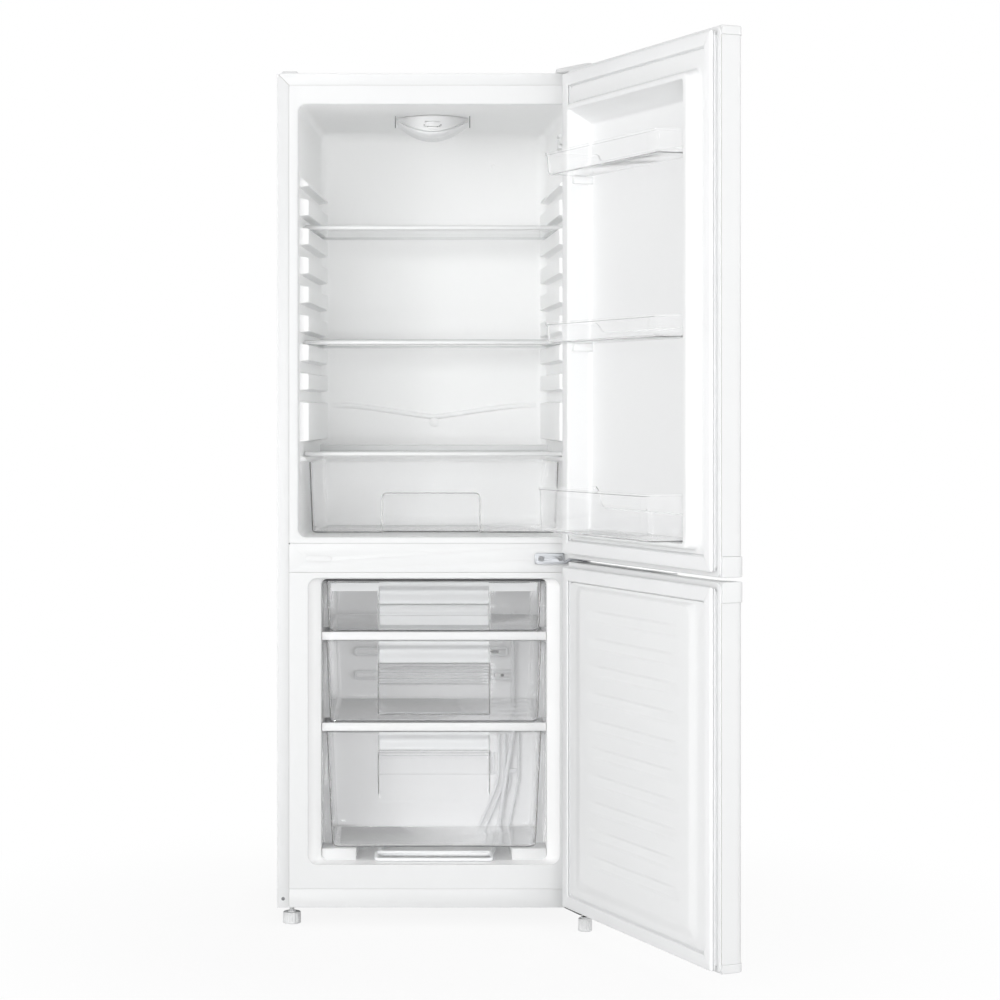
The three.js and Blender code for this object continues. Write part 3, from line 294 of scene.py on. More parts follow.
whiteSteel = opaqueFinish("whiteSteel", (0.72, 0.725, 0.727), (0.71, 0.715, 0.717), 0.36, 0.42,
                          rippleSize=420, rippleDepth=0.06, gloss=0.4)
whitePlastic = opaqueFinish("whitePlastic", (0.73, 0.735, 0.737), (0.715, 0.72, 0.722), 0.4, 0.48,
                            rippleSize=900, rippleDepth=0.08, gloss=0.4)
# The rooms' lining, its rim and the door linings are one white plastic in three copies. The rooms' copy is
# painted lighter, as painted light for their shaded inside. The rim's and the doors' copies are painted
# darker, as painted shade where the lamps fall full on them.
lining = opaqueFinish("lining", (0.978, 0.98, 0.98), (0.972, 0.974, 0.974), 0.42, 0.5,
                      rippleSize=500, rippleDepth=0.05, gloss=0.3)
liningPaintedShade = opaqueFinish("liningPaintedShade", (0.73, 0.735, 0.737), (0.72, 0.725, 0.727), 0.42, 0.5,
                         rippleSize=500, rippleDepth=0.05, gloss=0.3)
doorLiningPaintedShade = opaqueFinish("doorLiningPaintedShade", (0.825, 0.83, 0.832), (0.815, 0.82, 0.822), 0.42, 0.5,
                          rippleSize=500, rippleDepth=0.05, gloss=0.3)
sealRubber = opaqueFinish("sealRubber", (0.84, 0.845, 0.85), (0.8, 0.805, 0.81), 0.5, 0.62,
                          rippleSize=700, rippleDepth=0.12)
foamCore = opaqueFinish("foamCore", (0.5, 0.47, 0.4), (0.42, 0.39, 0.33), 0.8, 0.95,
                        driftSize=30, rippleSize=500, rippleDepth=0.6)
zincPlate = opaqueFinish("zincPlate", (0.4, 0.41, 0.42), (0.3, 0.31, 0.33), 0.3, 0.46,
                         driftSize=4, rippleSize=900, rippleDepth=0.1, metallic=1.0)
screwZinc = opaqueFinish("screwZinc", (0.24, 0.245, 0.25), (0.2, 0.205, 0.21), 0.3, 0.46,
                         driftSize=6, rippleSize=900, rippleDepth=0.1, metallic=1.0)
whiteTube = opaqueFinish("whiteTube", (0.86, 0.87, 0.875), (0.8, 0.81, 0.82), 0.3, 0.42,
                         rippleSize=700, rippleDepth=0.1)
blackEnamel = opaqueFinish("blackEnamel", (0.022, 0.022, 0.023), (0.035, 0.035, 0.036), 0.3, 0.5,
                           driftSize=14, rippleSize=600, rippleDepth=0.1)
darkPlastic = opaqueFinish("darkPlastic", (0.05, 0.05, 0.053), (0.075, 0.075, 0.078), 0.5, 0.65,
                           driftSize=20, rippleSize=1500, rippleDepth=0.2)
greyPlastic = opaqueFinish("greyPlastic", (0.42, 0.43, 0.44), (0.36, 0.37, 0.38), 0.45, 0.6,
                           driftSize=20, rippleSize=900, rippleDepth=0.15)
clearPlastic = clearFinish("clearPlastic", (0.992, 0.994, 0.996), 0.02, 0.05, 1.38, (0.99, 0.99, 0.992),
                           through=0.94)
lensPlastic = clearFinish("lensPlastic", (0.95, 0.955, 0.96), 0.3, 0.36, 1.4, (0.96, 0.962, 0.965),
                          through=0.5, rippleSize=900, rippleDepth=0.2)
palePlastic = clearFinish("palePlastic", (0.994, 0.995, 0.996), 0.03, 0.07, 1.16, (0.994, 0.994, 0.995),
                          through=0.92)
frostedPlastic = clearFinish("frostedPlastic", (0.82, 0.83, 0.835), 0.3, 0.36, 1.5, (0.94, 0.942, 0.945),
                             through=0.6, rippleSize=900, rippleDepth=0.2)
shelfGlass = clearFinish("shelfGlass", (0.98, 0.994, 0.99), 0.0, 0.01, 1.3, (0.98, 0.986, 0.984),
                         rippleDepth=0.0)
print("finishes done")


edges = {"angle": math.radians(38), "segments": 3, "weld": 0.000002}


# Edges under the angle shade smooth, as on a pressed or moulded piece.
def makeSmoothByAngle():
    group = bpy.data.node_groups.new("smoothByAngle", "GeometryNodeTree")
    group.interface.new_socket("Geometry", in_out="INPUT", socket_type="NodeSocketGeometry")
    group.interface.new_socket("Geometry", in_out="OUTPUT", socket_type="NodeSocketGeometry")
    start = group.nodes.new("NodeGroupInput")
    end = group.nodes.new("NodeGroupOutput")
    faces = group.nodes.new("GeometryNodeSetShadeSmooth")
    creases = group.nodes.new("GeometryNodeSetShadeSmooth")
    creases.domain = "EDGE"
    creases.inputs["Shade Smooth"].default_value = False
    angle = group.nodes.new("GeometryNodeInputMeshEdgeAngle")
    sharp = group.nodes.new("FunctionNodeCompare")
    sharp.inputs["B"].default_value = edges["angle"]
    group.links.new(start.outputs[0], faces.inputs["Geometry"])
    group.links.new(faces.outputs[0], creases.inputs["Geometry"])
    group.links.new(angle.outputs["Unsigned Angle"], sharp.inputs["A"])
    group.links.new(sharp.outputs[0], creases.inputs["Selection"])
    group.links.new(creases.outputs[0], end.inputs[0])
    return group


smoothByAngle = makeSmoothByAngle()


def softenEdges(piece, width):
    weld = piece.modifiers.new("weld", "WELD")
    weld.merge_threshold = edges["weld"]
    if width:
        bevel = piece.modifiers.new("edges", "BEVEL")
        bevel.width = width / 1000
        bevel.segments = edges["segments"]
        bevel.limit_method = "ANGLE"
        bevel.angle_limit = edges["angle"]
        bevel.miter_outer = "MITER_ARC"
        bevel.harden_normals = True
    smooth = piece.modifiers.new("smooth", "NODES")
    smooth.node_group = smoothByAngle


def mixed(low, high, share):
    return low + (high - low) * share


def smoothStep(share):
    share = min(max(share, 0), 1)
    return share * share * (3 - 2 * share)


# 1 between two places and 0 outside them, with soft ramps of the given width about each place.
def plateau(value, low, high, ramp):
    return smoothStep((value - low) / ramp + 0.5) * smoothStep((high - value) / ramp + 0.5)


# A quarter turn in equal steps, from its first step: how far each has left the start, 1 - cos, which
# grows from 0 to 1, and how far it still has to go, 1 - sin, which falls from 1 to 0.
def quarterTurn(steps, first=0):
    turns = [math.pi / 2 * k / steps for k in range(first, steps + 1)]
    return [(1 - math.cos(turn), 1 - math.sin(turn)) for turn in turns]


# Quads from each loop to the next one, which has as many points.
def skinLoops(form, loops, capStart=True, capEnd=True, around=True):
    rings = [[form.verts.new(point) for point in loop] for loop in loops]
    for near, beyond in zip(rings, rings[1:]):
        for i in range(len(near) if around else len(near) - 1):
            j = (i + 1) % len(near)
            form.faces.new((near[i], near[j], beyond[j], beyond[i]))
    if capStart:
        form.faces.new(rings[0])
    if capEnd:
        form.faces.new(rings[-1])
    return rings


# Points round a rectangle with round corners, the same number for any spans and radius.
def roundedRectangle(spanA, spanB, radius, steps=6, alongA=1, alongB=1):
    (a0, a1), (b0, b1) = spanA, spanB
    radius = max(min(radius, (a1 - a0) / 2, (b1 - b0) / 2), 0.01)
    corners = [(a1 - radius, b1 - radius), (a0 + radius, b1 - radius),
               (a0 + radius, b0 + radius), (a1 - radius, b0 + radius)]
    points = []
    for quarter, (a, b) in enumerate(corners):
        arc = [(quarter + i / steps) * math.pi / 2 for i in range(steps + 1)]
        points += [(a + radius * math.cos(turn), b + radius * math.sin(turn)) for turn in arc]
        nextA, nextB = corners[(quarter + 1) % 4]
        turn = (quarter + 1) * math.pi / 2
        start, end = points[-1], (nextA + radius * math.cos(turn), nextB + radius * math.sin(turn))
        fill = alongB if quarter % 2 else alongA
        points += [(mixed(start[0], end[0], i / fill), mixed(start[1], end[1], i / fill))
                   for i in range(1, fill)]
    return points


def across(half, centre=0):
    return (centre - half, centre + half)


def grown(span, more):
    return (span[0] - more, span[1] + more)


def standing(points, y):  # a loop that faces the front
    return [(x, y, z) for x, z in points]


def lying(points, z):  # a loop that faces up
    return [(x, y, z) for x, y in points]


def addBox(form, spanX, spanY, spanZ):
    plan = [(spanX[0], spanY[0]), (spanX[1], spanY[0]), (spanX[1], spanY[1]), (spanX[0], spanY[1])]
    skinLoops(form, [lying(plan, z) for z in spanZ])


# The points of a circle about a centre, as pairs.
def circle(centre, radius, sides):
    turns = [2 * math.pi * i / sides for i in range(sides)]
    return [(centre[0] + radius * math.cos(turn), centre[1] + radius * math.sin(turn)) for turn in turns]


# A profile of (radius, height) pairs turned about an upright line.
def addTurned(form, centre, profile, sides):
    skinLoops(form, [lying(circle(centre, radius, sides), height) for radius, height in profile])


# A tube along points, its section carried without twist.
def addTube(form, points, radius, sides):
    points = [Vector(point) for point in points]
    heading = (points[1] - points[0]).normalized()
    side = heading.orthogonal().normalized()
    loops = []
    for i, point in enumerate(points):
        ahead = (points[min(i + 1, len(points) - 1)] - points[max(i - 1, 0)]).normalized()
        side = (side - ahead * side.dot(ahead)).normalized()
        other = ahead.cross(side)
        loops.append([point + side * a + other * b for a, b in circle((0, 0), radius, sides)])
    skinLoops(form, loops)


# A route through corners, each rounded to the radius.
def roundedRoute(corners, radius, steps=8):
    corners = [Vector(corner) for corner in corners]
    route = [corners[0]]
    for before, corner, after in zip(corners, corners[1:], corners[2:]):
        into = (corner - before).normalized()
        out = (after - corner).normalized()
        setback = radius * math.tan(into.angle(out) / 2)
        start, end = corner - into * setback, corner + out * setback
        for i in range(steps + 1):
            share = i / steps
            point = start * (1 - share) ** 2 + corner * 2 * share * (1 - share) + end * share ** 2
            if (point - route[-1]).length > 0.05:
                route.append(point)
    return route + [corners[-1]]


# A closed profile of (outward, y) pairs carried round a rectangle and mitred at its corners.
def addRing(form, profile, half, spanZ, radius, steps):
    loops = []
    for outward, y in profile:
        loop = roundedRectangle(grown(across(half), outward), grown(spanZ, outward), radius, steps)
        loops.append(standing(loop, y))
    skinLoops(form, loops + [loops[0]], False, False)


# Gives the faces whose middle passes the test a piece's second finish.
def markFaces(form, test):
    for face in form.faces:
        if test(face.calc_center_median()):
            face.material_index = 1


# The form as a named piece that rides a body. Its wall grows outward above 0 and inward below 0.
def addPiece(name, form, finishes, body, replaced=(), place=inCabinet, edge=0.0, wall=0.0,
             openSkin=False):
    bmesh.ops.remove_doubles(form, verts=form.verts, dist=0.001)
    if not openSkin:
        bmesh.ops.recalc_face_normals(form, faces=form.faces)
    mesh = bpy.data.meshes.new(name)
    form.to_mesh(mesh)
    form.free()
    mesh.transform(place)
    piece = bpy.data.objects.new(name, mesh)
    bpy.context.scene.collection.objects.link(piece)
    for finish in finishes:
        mesh.materials.append(finish)
    if wall:
        solidify = piece.modifiers.new("wall", "SOLIDIFY")
        solidify.thickness = abs(wall) / 1000
        solidify.offset = 1 if wall > 0 else -1
    softenEdges(piece, edge)
    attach(piece, body)
    if replaced:
        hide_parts(*replaced)
    return piece


# Fridge room: a formed lining with shelf supports down both sides.
fridgeRoom = {
    "half": 235, "backHalf": 215, "bottom": 675, "backBottom": 677, "top": 1425.6, "backTop": 1422,
    "wallDepth": 406, "fillet": 20, "corner": 13, "roll": 4, "sheet": 2,
    "lipHalf": 251.7, "lipBottom": 663.8, "lipTop": 1459.2,
}
rack = {
    "face": 14.5, "front": 24, "back": 392, "topSlot": 1264.45, "pitch": 50.75, "groove": 21, "count": 8,
    "roof": 1303.5, "slope": 13, "lowest": 840.3, "ramp": 3.4, "end": 6,
}
coverRest = {"face": 8, "front": 32, "back": 372, "low": 805.3, "high": 813.3, "ramp": 2}
trough = {"half": 198, "edge": 905, "middle": 882, "rise": 5, "proud": 6, "nub": 8}
switchBoss = {
    "inner": 217, "outer": 236, "z": 1365, "half": 13, "slot": 6.4, "front": 24, "end": 53, "back": 62,
}


def rackBlocks():
    floors = [rack["topSlot"] - i * rack["pitch"] for i in range(rack["count"])]
    lows = [floor - rack["pitch"] + rack["groove"] for floor in floors[:-1]] + [rack["lowest"]]
    return list(zip(lows, floors))


# How far the side wall stands into the room at a height and depth.
def sideRelief(z, y):
    relief = sum(plateau(z, low, high, rack["ramp"]) for low, high in rackBlocks())
    slope = min(max((rack["roof"] - z) / rack["slope"], 0), 1)
    relief += slope * plateau(z, rack["topSlot"] + rack["groove"], rack["roof"] + 3, rack["ramp"])
    relief *= rack["face"] * plateau(y, rack["front"], rack["back"], rack["end"])
    rest = plateau(z, coverRest["low"], coverRest["high"], coverRest["ramp"])
    return relief + rest * coverRest["face"] * plateau(y, coverRest["front"], coverRest["back"], rack["end"])


def sideHeights():
    edges = [z for block in rackBlocks() for z in block]
    edges += [rack["topSlot"] + rack["groove"], coverRest["low"], coverRest["high"]]
    heights = {round(edge + step * 0.9, 3) for edge in edges for step in range(-3, 4)}
    heights |= {round(rack["roof"] + step * 2.4, 3) for step in range(-6, 3)}
    plain = [z for z in range(692, 1408, 9) if min(abs(z - other) for other in heights) > 4]
    return sorted(heights | set(plain))


# The room's outline at a depth: up the right side, over the top, down the left and back below.
def fridgeLoop(y, inset=0.0):
    room = fridgeRoom
    share = min(max(y / room["wallDepth"], 0), 1)
    half = mixed(room["half"], room["backHalf"], share) - inset
    bottom = mixed(room["bottom"], room["backBottom"], share) + inset
    top = mixed(room["top"], room["backTop"], share) - inset
    radius = max(room["corner"] - inset * 0.3, 3)
    centre, squeeze = (bottom + top) / 2, (top - bottom) / (top - bottom + 2 * inset)
    topArc = [(half - radius * bend, top - radius * toGo) for bend, toGo in quarterTurn(8)]
    lowArc = [(x, bottom + top - z) for x, z in reversed(topArc)]
    relief = 0 if inset else 1
    side = [(half - relief * sideRelief(z, y), centre + (z - centre) * squeeze) for z in sideHeights()]
    right = lowArc + side + topArc
    middle = [mixed(half - radius, radius - half, k / 12) for k in range(1, 12)]
    left = [(-x, z) for x, z in reversed(right)]
    return right + [(x, top) for x in middle] + left + [(-x, bottom) for x in middle]


# The flat lip round the mouth, point for point with the room's outline.
def lipLoop(loop, room):
    points = []
    for x, z in loop:
        share = (z - room["bottom"]) / (room["top"] - room["bottom"])
        if abs(x) > room["half"] - room["corner"] - 1:
            side = math.copysign(room["lipHalf"], x)
            points.append((side, mixed(room["lipBottom"], room["lipTop"], share)))
        else:
            level = room["lipTop"] if share > 0.5 else room["lipBottom"]
            points.append((x * room["lipHalf"] / room["half"], level))
    return points


def buildFridgeLining():
    room = fridgeRoom
    loops = [standing(lipLoop(fridgeLoop(0), room), 0)]
    for bend, toGo in quarterTurn(4):
        loops.append(standing(fridgeLoop(0, -room["roll"] * toGo), room["roll"] * bend))
    ends = [end + 1.5 * k for end in (rack["front"], coverRest["front"], coverRest["back"], rack["back"])
            for k in range(-3, 4)]
    depths = sorted({round(y, 2) for y in ends + list(range(8, 20, 5)) + list(range(42, 366, 30)) + [381]})
    loops += [standing(fridgeLoop(y), y) for y in depths]
    for bend, toGo in quarterTurn(8):
        loops.append(standing(fridgeLoop(room["wallDepth"], room["fillet"] * bend),
                              room["wallDepth"] + room["fillet"] * (1 - toGo)))
    form = bmesh.new()
    skinLoops(form, loops, capStart=False)
    # The lip and roll of the mouth take the darker copy of the lining: painted shade.
    markFaces(form, lambda middle: middle.y < room["roll"])
    addPiece("fridge_lining", form, [lining, liningPaintedShade], "cabinet", ["fridge_liner"],
             wall=-room["sheet"], openSkin=True)


# The gutter that leads melt water to the drain, with the nub at its middle.
def buildDrainGutter():
    wall = fridgeRoom["wallDepth"] + fridgeRoom["fillet"]
    half, edge, middle = trough["half"], trough["edge"], trough["middle"]
    form = bmesh.new()
    for side in (-1, 1):
        loops = []
        for k in range(9):
            turn = math.pi * k / 8
            out, up = trough["proud"] * math.sin(turn), trough["rise"] * math.cos(turn)
            loop = []
            for i in range(21):
                slope = smoothStep(0.25 + 0.75 * i / 20) * 1.19 - 0.19
                loop.append((side * mixed(-2, half, i / 20), wall + 0.5 - out * min(1, (20 - i) / 3),
                             mixed(middle, edge, slope) + up))
            loops.append(loop)
        skinLoops(form, [list(section) for section in zip(*loops)])
    centre, face = middle - 10, wall - trough["proud"]
    nub = roundedRectangle(across(trough["nub"]), across(trough["nub"], centre), 6)
    tip = [(x * 0.8, centre + (z - centre) * 0.8) for x, z in nub]
    skinLoops(form, [standing(nub, wall + 0.5), standing(nub, face + 1), standing(tip, face)])
    addPiece("drain_gutter", form, [lining], "cabinet")


def buildSwitchBoss():
    boss = switchBoss
    spanX = (boss["inner"], boss["outer"])
    form = bmesh.new()
    for low, high in ((-boss["half"], -boss["slot"]), (boss["slot"], boss["half"])):
        addBox(form, spanX, (boss["front"], boss["back"]), (boss["z"] + low, boss["z"] + high))
    addBox(form, spanX, (boss["end"], boss["back"]), across(boss["half"] - 1, boss["z"]))
    addPiece("light_switch_boss", form, [whitePlastic], "cabinet", edge=1.2)


# Freezer room. Its lower half ends at the riser in front of the compressor bay.
freezerRoom = {
    "half": 218.8, "bottom": 105, "top": 603.6, "corner": 16, "roll": 3, "bevel": 25, "innerHalf": 197,
    "backHalf": 195, "floor": 109, "ceiling": 600, "innerCorner": 10, "step": 300, "stepDepth": 282,
    "depth": 430, "sheet": 2, "lipHalf": 251.7, "lipBottom": 63.9, "lipTop": 612.7, "rimDepth": 1.3,
    "riserEdge": 6, "backEdge": 9,
    "ledge": {"inner": 178, "front": 46, "back": 418, "tops": (494.7, 335.7), "thick": 3.3},
    "pad": {"inner": 136, "front": 30, "back": 252, "top": 128.7},
}


def freezerLoop(half, bottom, top, radius):
    return roundedRectangle(across(half), (bottom, top), radius, 8, 6, 6)


def buildFreezerLining():
    room = freezerRoom
    mouth = freezerLoop(room["half"], room["bottom"], room["top"], room["corner"])
    loops = [standing(lipLoop(mouth, room), 0)]

    def addLoop(half, bottom, top, radius, y):
        loops.append(standing(freezerLoop(half, bottom, top, radius), y))

    for bend, toGo in quarterTurn(4):
        out = room["roll"] * toGo
        addLoop(room["half"] + out - 0.6, room["bottom"] - out + 0.6, room["top"] + out - 0.6,
                room["corner"] + out, room["roll"] * bend * 0.4)
    inner = (room["innerHalf"], room["floor"], room["ceiling"])
    for share in (0.12, 0.5, 0.9, 0.97, 1.0):
        eased = mixed(share, smoothStep(share), 0.35)
        values = [mixed(a, b, eased) for a, b in zip((room["half"], room["bottom"], room["top"]), inner)]
        addLoop(*values, mixed(room["corner"], room["innerCorner"], share), mixed(1.2, room["bevel"], share))
    half, step, ceiling, corner = room["backHalf"], room["step"], room["ceiling"], room["innerCorner"]
    soft = room["riserEdge"]
    for y in (40, 150, room["stepDepth"] - soft):
        addLoop(mixed(room["innerHalf"], half, y / room["depth"]), room["floor"], ceiling, corner, y)
    for bend, toGo in quarterTurn(4):
        addLoop(half, room["floor"] + soft * bend, ceiling, corner, room["stepDepth"] - soft * toGo)
    for bend, toGo in quarterTurn(4):
        addLoop(half, step - soft * toGo, ceiling, corner, room["stepDepth"] + soft * bend)
    soft = room["backEdge"]
    for bend, toGo in quarterTurn(4):
        inset = soft * bend
        addLoop(half - inset, step + inset, ceiling - inset, corner, room["depth"] - soft * toGo)
    form = bmesh.new()
    skinLoops(form, loops, capStart=False)
    # The rim of the mouth takes the darker copy of the lining: painted shade.
    markFaces(form, lambda middle: middle.y < room["rimDepth"])
    addPiece("freezer_lining", form, [lining, liningPaintedShade], "cabinet", ["freezer_liner"],
             wall=-room["sheet"], openSkin=True)


def buildDrawerLedges():
    room = freezerRoom
    ledge, pad = room["ledge"], room["pad"]
    form = bmesh.new()
    for side in (-1, 1):
        wall = side * (room["backHalf"] + 1.5)
        for top in ledge["tops"]:
            addBox(form, sorted((side * ledge["inner"], wall)), (ledge["front"], ledge["back"]),
                   (top - ledge["thick"], top))
        addBox(form, sorted((side * pad["inner"], wall)), (pad["front"], pad["back"]),
               (room["floor"] - 1, pad["top"]))
    # The ledges take the darker copy of the lining: painted shade.
    addPiece("drawer_ledges", form, [liningPaintedShade], "cabinet", edge=1.5)


# Doors: skin, caps, gasket and lining.
doorForm = {
    "half": 272.5, "front": -55, "back": -17.3, "corner": 12, "sheet": 1, "pin": (260, -42), "bush": 4.4,
    "bushDepth": 10, "scoopRadius": 19, "scoop": (-232, -52), "proud": {"grip": 2, "plain": 1}, "edge": 2.2,
    "rim": -15, "rimHalf": 271.1, "rimInset": 1.4, "rimCorner": 10, "linerSheet": 2,
    "land": {"half": 242.8, "inset": 24.2, "height": 10, "corner": 10, "roll": 1.6},
}
doors = {
    "upper_door": {"bottom": 640.3, "top": 1479.4, "bottomCap": 32, "topCap": 14, "grip": "bottom",
                   "gasket": (649, 1472)},
    "lower_door": {"bottom": 39, "top": 634, "bottomCap": 14, "topCap": 32, "grip": "top",
                   "gasket": (43, 626)},
}


def doorPlan(inset):
    half, radius = doorForm["half"] - inset, doorForm["corner"] - inset
    front, back = doorForm["front"] + inset, doorForm["back"]
    left = [(radius * bend - half, front + radius * toGo) for bend, toGo in quarterTurn(12)]
    right = [(-x, y) for x, y in reversed(left)]
    return [(-half, back)] + left + right + [(half, back)]


def buildDoorSkin(name, door):
    low = door["bottom"] + door["bottomCap"] + 0.3
    high = door["top"] - door["topCap"] - 0.3
    plan = doorPlan(0) + list(reversed(doorPlan(doorForm["sheet"])))
    form = bmesh.new()
    skinLoops(form, [lying(plan, z) for z in (low, low + 0.4, high - 0.4, high)])
    addPiece(name + "_panel", form, [whiteSteel], name, [name + "_skin"], inDoor)


# A moulded end cap. Its outer edge is rounded, and a grip cap has a finger scoop and a bush for the pin.
def buildDoorCap(name, end, door):
    thick = door[end + "Cap"]
    outward = -1 if end == "bottom" else 1
    tip, edge = door[end], doorForm["edge"]
    proud = doorForm["proud"]["grip" if door["grip"] == end else "plain"]
    loops = [lying(doorPlan(0.8 - proud), tip - outward * thick),
             lying(doorPlan(-proud), tip - outward * (thick - 0.8))]
    for bend, toGo in quarterTurn(4):
        loops.append(lying(doorPlan(edge * bend - proud), tip - outward * edge * toGo))
    form = bmesh.new()
    skinLoops(form, loops)
    cap = addPiece(name + "_" + end + "_trim", form, [whitePlastic], name,
                   [name + "_" + end + "_cap"], inDoor)
    cutters = bmesh.new()
    addTurned(cutters, doorForm["pin"], [(doorForm["bush"], tip - outward * doorForm["bushDepth"]),
                                         (doorForm["bush"], tip + outward)], 24)
    if door["grip"] == end:
        centre = (doorForm["front"] - 4, tip)
        start, stop = doorForm["scoop"]
        loops = []
        for inset, x in ((7, start), (2, start + 2), (0, start + 7), (0, stop - 7), (2, stop - 2), (7, stop)):
            loops.append([(x, y, z) for y, z in circle(centre, doorForm["scoopRadius"] - inset, 48)])
        skinLoops(cutters, loops)
    carve(cap, cutters, inDoor)


# Cuts a closed form out of a piece, as its first modifier.
def carve(piece, form, place):
    bmesh.ops.recalc_face_normals(form, faces=form.faces)
    mesh = bpy.data.meshes.new("cutter")
    form.to_mesh(mesh)
    form.free()
    mesh.transform(place)
    cutter = bpy.data.objects.new("cutter", mesh)
    bpy.context.scene.collection.objects.link(cutter)
    bare = bpy.data.objects.new("bare", piece.data)
    bpy.context.scene.collection.objects.link(bare)
    boolean = bare.modifiers.new("cut", "BOOLEAN")
    boolean.object = cutter
    boolean.solver = "EXACT"
    cutMesh = bpy.data.meshes.new_from_object(bare.evaluated_get(bpy.context.evaluated_depsgraph_get()))
    finishes = list(piece.data.materials)
    piece.data = cutMesh
    cutMesh.materials.clear()
    for finish in finishes:
        cutMesh.materials.append(finish)
    bpy.data.objects.remove(bare)
    bpy.data.objects.remove(cutter)


gasket = {
    "inner": 243, "outer": 267, "start": -14.7,
    # outward from the middle of the ring, and how far it stands towards the cabinet
    "profile": [(-6.2, 0), (-6.2, 4.2), (-8.4, 5.4), (-11.6, 6.2), (-12, 7.6), (-10.4, 8.8), (-7.6, 9.2),
                (-7.2, 10.4), (-9.6, 11.4), (-10.4, 12.8), (-9.2, 14), (8.6, 14), (10.8, 13.2), (12, 11.2),
                (11.6, 9.4), (8.4, 8.4), (8.2, 7.4), (10.8, 6.6), (11, 5.6), (6.2, 4.4), (6.2, 0)],
}


def buildGasket(name, door):
    middle = (gasket["inner"] + gasket["outer"]) / 2
    spanZ = grown(door["gasket"], middle - gasket["outer"])
    profile = [(outward, gasket["start"] + y) for outward, y in gasket["profile"]]
    form = bmesh.new()
    addRing(form, profile, middle, spanZ, 3, 4)
    addPiece(name + "_seal", form, [sealRubber], name, [name + "_gasket"], inDoor)


upperLining = {
    "baseHalf": 228, "base": (681, 1418), "foot": 4, "crestHalf": 223, "crest": (682, 1414), "crestY": 16,
    "roll": 5, "innerRoll": 3.4, "corner": 16, "mouthHalf": 206.2, "mouth": (690, 1403), "panHalf": 205.4,
    "pan": (690, 1381), "panY": -27, "panCorner": 4, "panRoll": 6,
}
bins = {
    "top": {"bottom": 1290, "top": 1327, "reach": 62},
    "middle": {"bottom": 1007, "top": 1042, "reach": 62},
    "bottom": {"bottom": 692, "top": 766, "reach": 75},
}


# From the rim in the skin's edge over the flat step inside the gasket: half, heights, corner and y.
def landSteps(door):
    land, rim = doorForm["land"], doorForm["rim"]
    outer = grown((door["bottom"], door["top"]), -doorForm["rimInset"])
    span = grown(door["gasket"], -land["inset"])
    steps = [(doorForm["rimHalf"], outer, doorForm["rimCorner"], rim),
             (land["half"], span, land["corner"], rim)]
    for bend, toGo in quarterTurn(4):
        inset = land["roll"] * bend
        steps.append((land["half"] - inset, grown(span, -inset), land["corner"] - inset,
                      rim + land["height"] - land["roll"] * toGo))
    return steps


def buildUpperLining():
    shape = upperLining
    crestY, corner, foot = shape["crestY"], shape["corner"], shape["foot"]
    loops = []

    def addLoop(half, spanZ, radius, y):
        loops.append(standing(roundedRectangle(across(half), spanZ, radius, 8, 10, 10), y))

    for landStep in landSteps(doors["upper_door"]):
        addLoop(*landStep)
    step = doorForm["rim"] + doorForm["land"]["height"]
    for bend, toGo in quarterTurn(4):  # the flat turns up into the ring
        out = foot * toGo
        addLoop(shape["baseHalf"] + out, grown(shape["base"], out), corner + out, step + foot * bend)
    roll = shape["roll"]
    for bend, toGo in quarterTurn(6):
        inset = roll * bend
        addLoop(shape["crestHalf"] - inset, grown(shape["crest"], -inset), corner, crestY - roll * toGo)
    roll = shape["innerRoll"]
    for bend, toGo in quarterTurn(6):
        out = roll * toGo
        addLoop(shape["mouthHalf"] + out, grown(shape["mouth"], out), shape["panCorner"] + out,
                crestY - roll * bend)
    low, high = shape["pan"]
    addLoop(mixed(shape["mouthHalf"], shape["panHalf"], 0.9), (low, mixed(shape["mouth"][1], high, 0.86)),
            shape["panCorner"], shape["panY"] + 7)
    for bend, toGo in quarterTurn(5, first=1):
        inset = shape["panRoll"] * bend
        addLoop(shape["panHalf"] - inset, (low + inset, high + 1 - inset), shape["panCorner"] + inset * 0.4,
                shape["panY"] + shape["panRoll"] * toGo)
    form = bmesh.new()
    skinLoops(form, loops, capStart=False)
    addPiece("upper_door_lining", form, [doorLiningPaintedShade], "upper_door", ["upper_door_liner"], inDoor,
             wall=doorForm["linerSheet"], openSkin=True)


def buildBinLedges():
    shape = upperLining
    form = bmesh.new()
    for shelfBin in bins.values():
        low = max(shelfBin["bottom"] - 12, shape["pan"][0] - 0.5)
        for side in (-1, 1):
            span = sorted((side * (shape["panHalf"] - 8), side * (shape["panHalf"] + 1)))
            addBox(form, span, (shape["panY"] - 0.5, 8), (low, shelfBin["bottom"] - 0.3))
    addPiece("bin_ledges", form, [doorLiningPaintedShade], "upper_door", place=inDoor, edge=2.5)


lowerLining = {
    "baseHalf": 222, "base": (78, 598), "half": 192, "span": (100, 591), "faceY": -0.4, "corner": 14,
    "columns": 48, "rowPitch": 1.7,
    "grooves": {"count": 10, "pitch": 45.5, "half": 164, "rise": 9, "depth": 2.9, "ramp": 5},
}


# Heights of the face's rows, closer together where they turn the corner.
def faceRows():
    low, high = lowerLining["span"]
    radius = lowerLining["corner"]
    ends = [radius * bend for bend, toGo in quarterTurn(6)[:-1]]
    count = round((high - low - 2 * radius) / lowerLining["rowPitch"])
    middle = [mixed(low + radius, high - radius, k / count) for k in range(count + 1)]
    return [low + end for end in ends] + middle + [high - end for end in reversed(ends)]


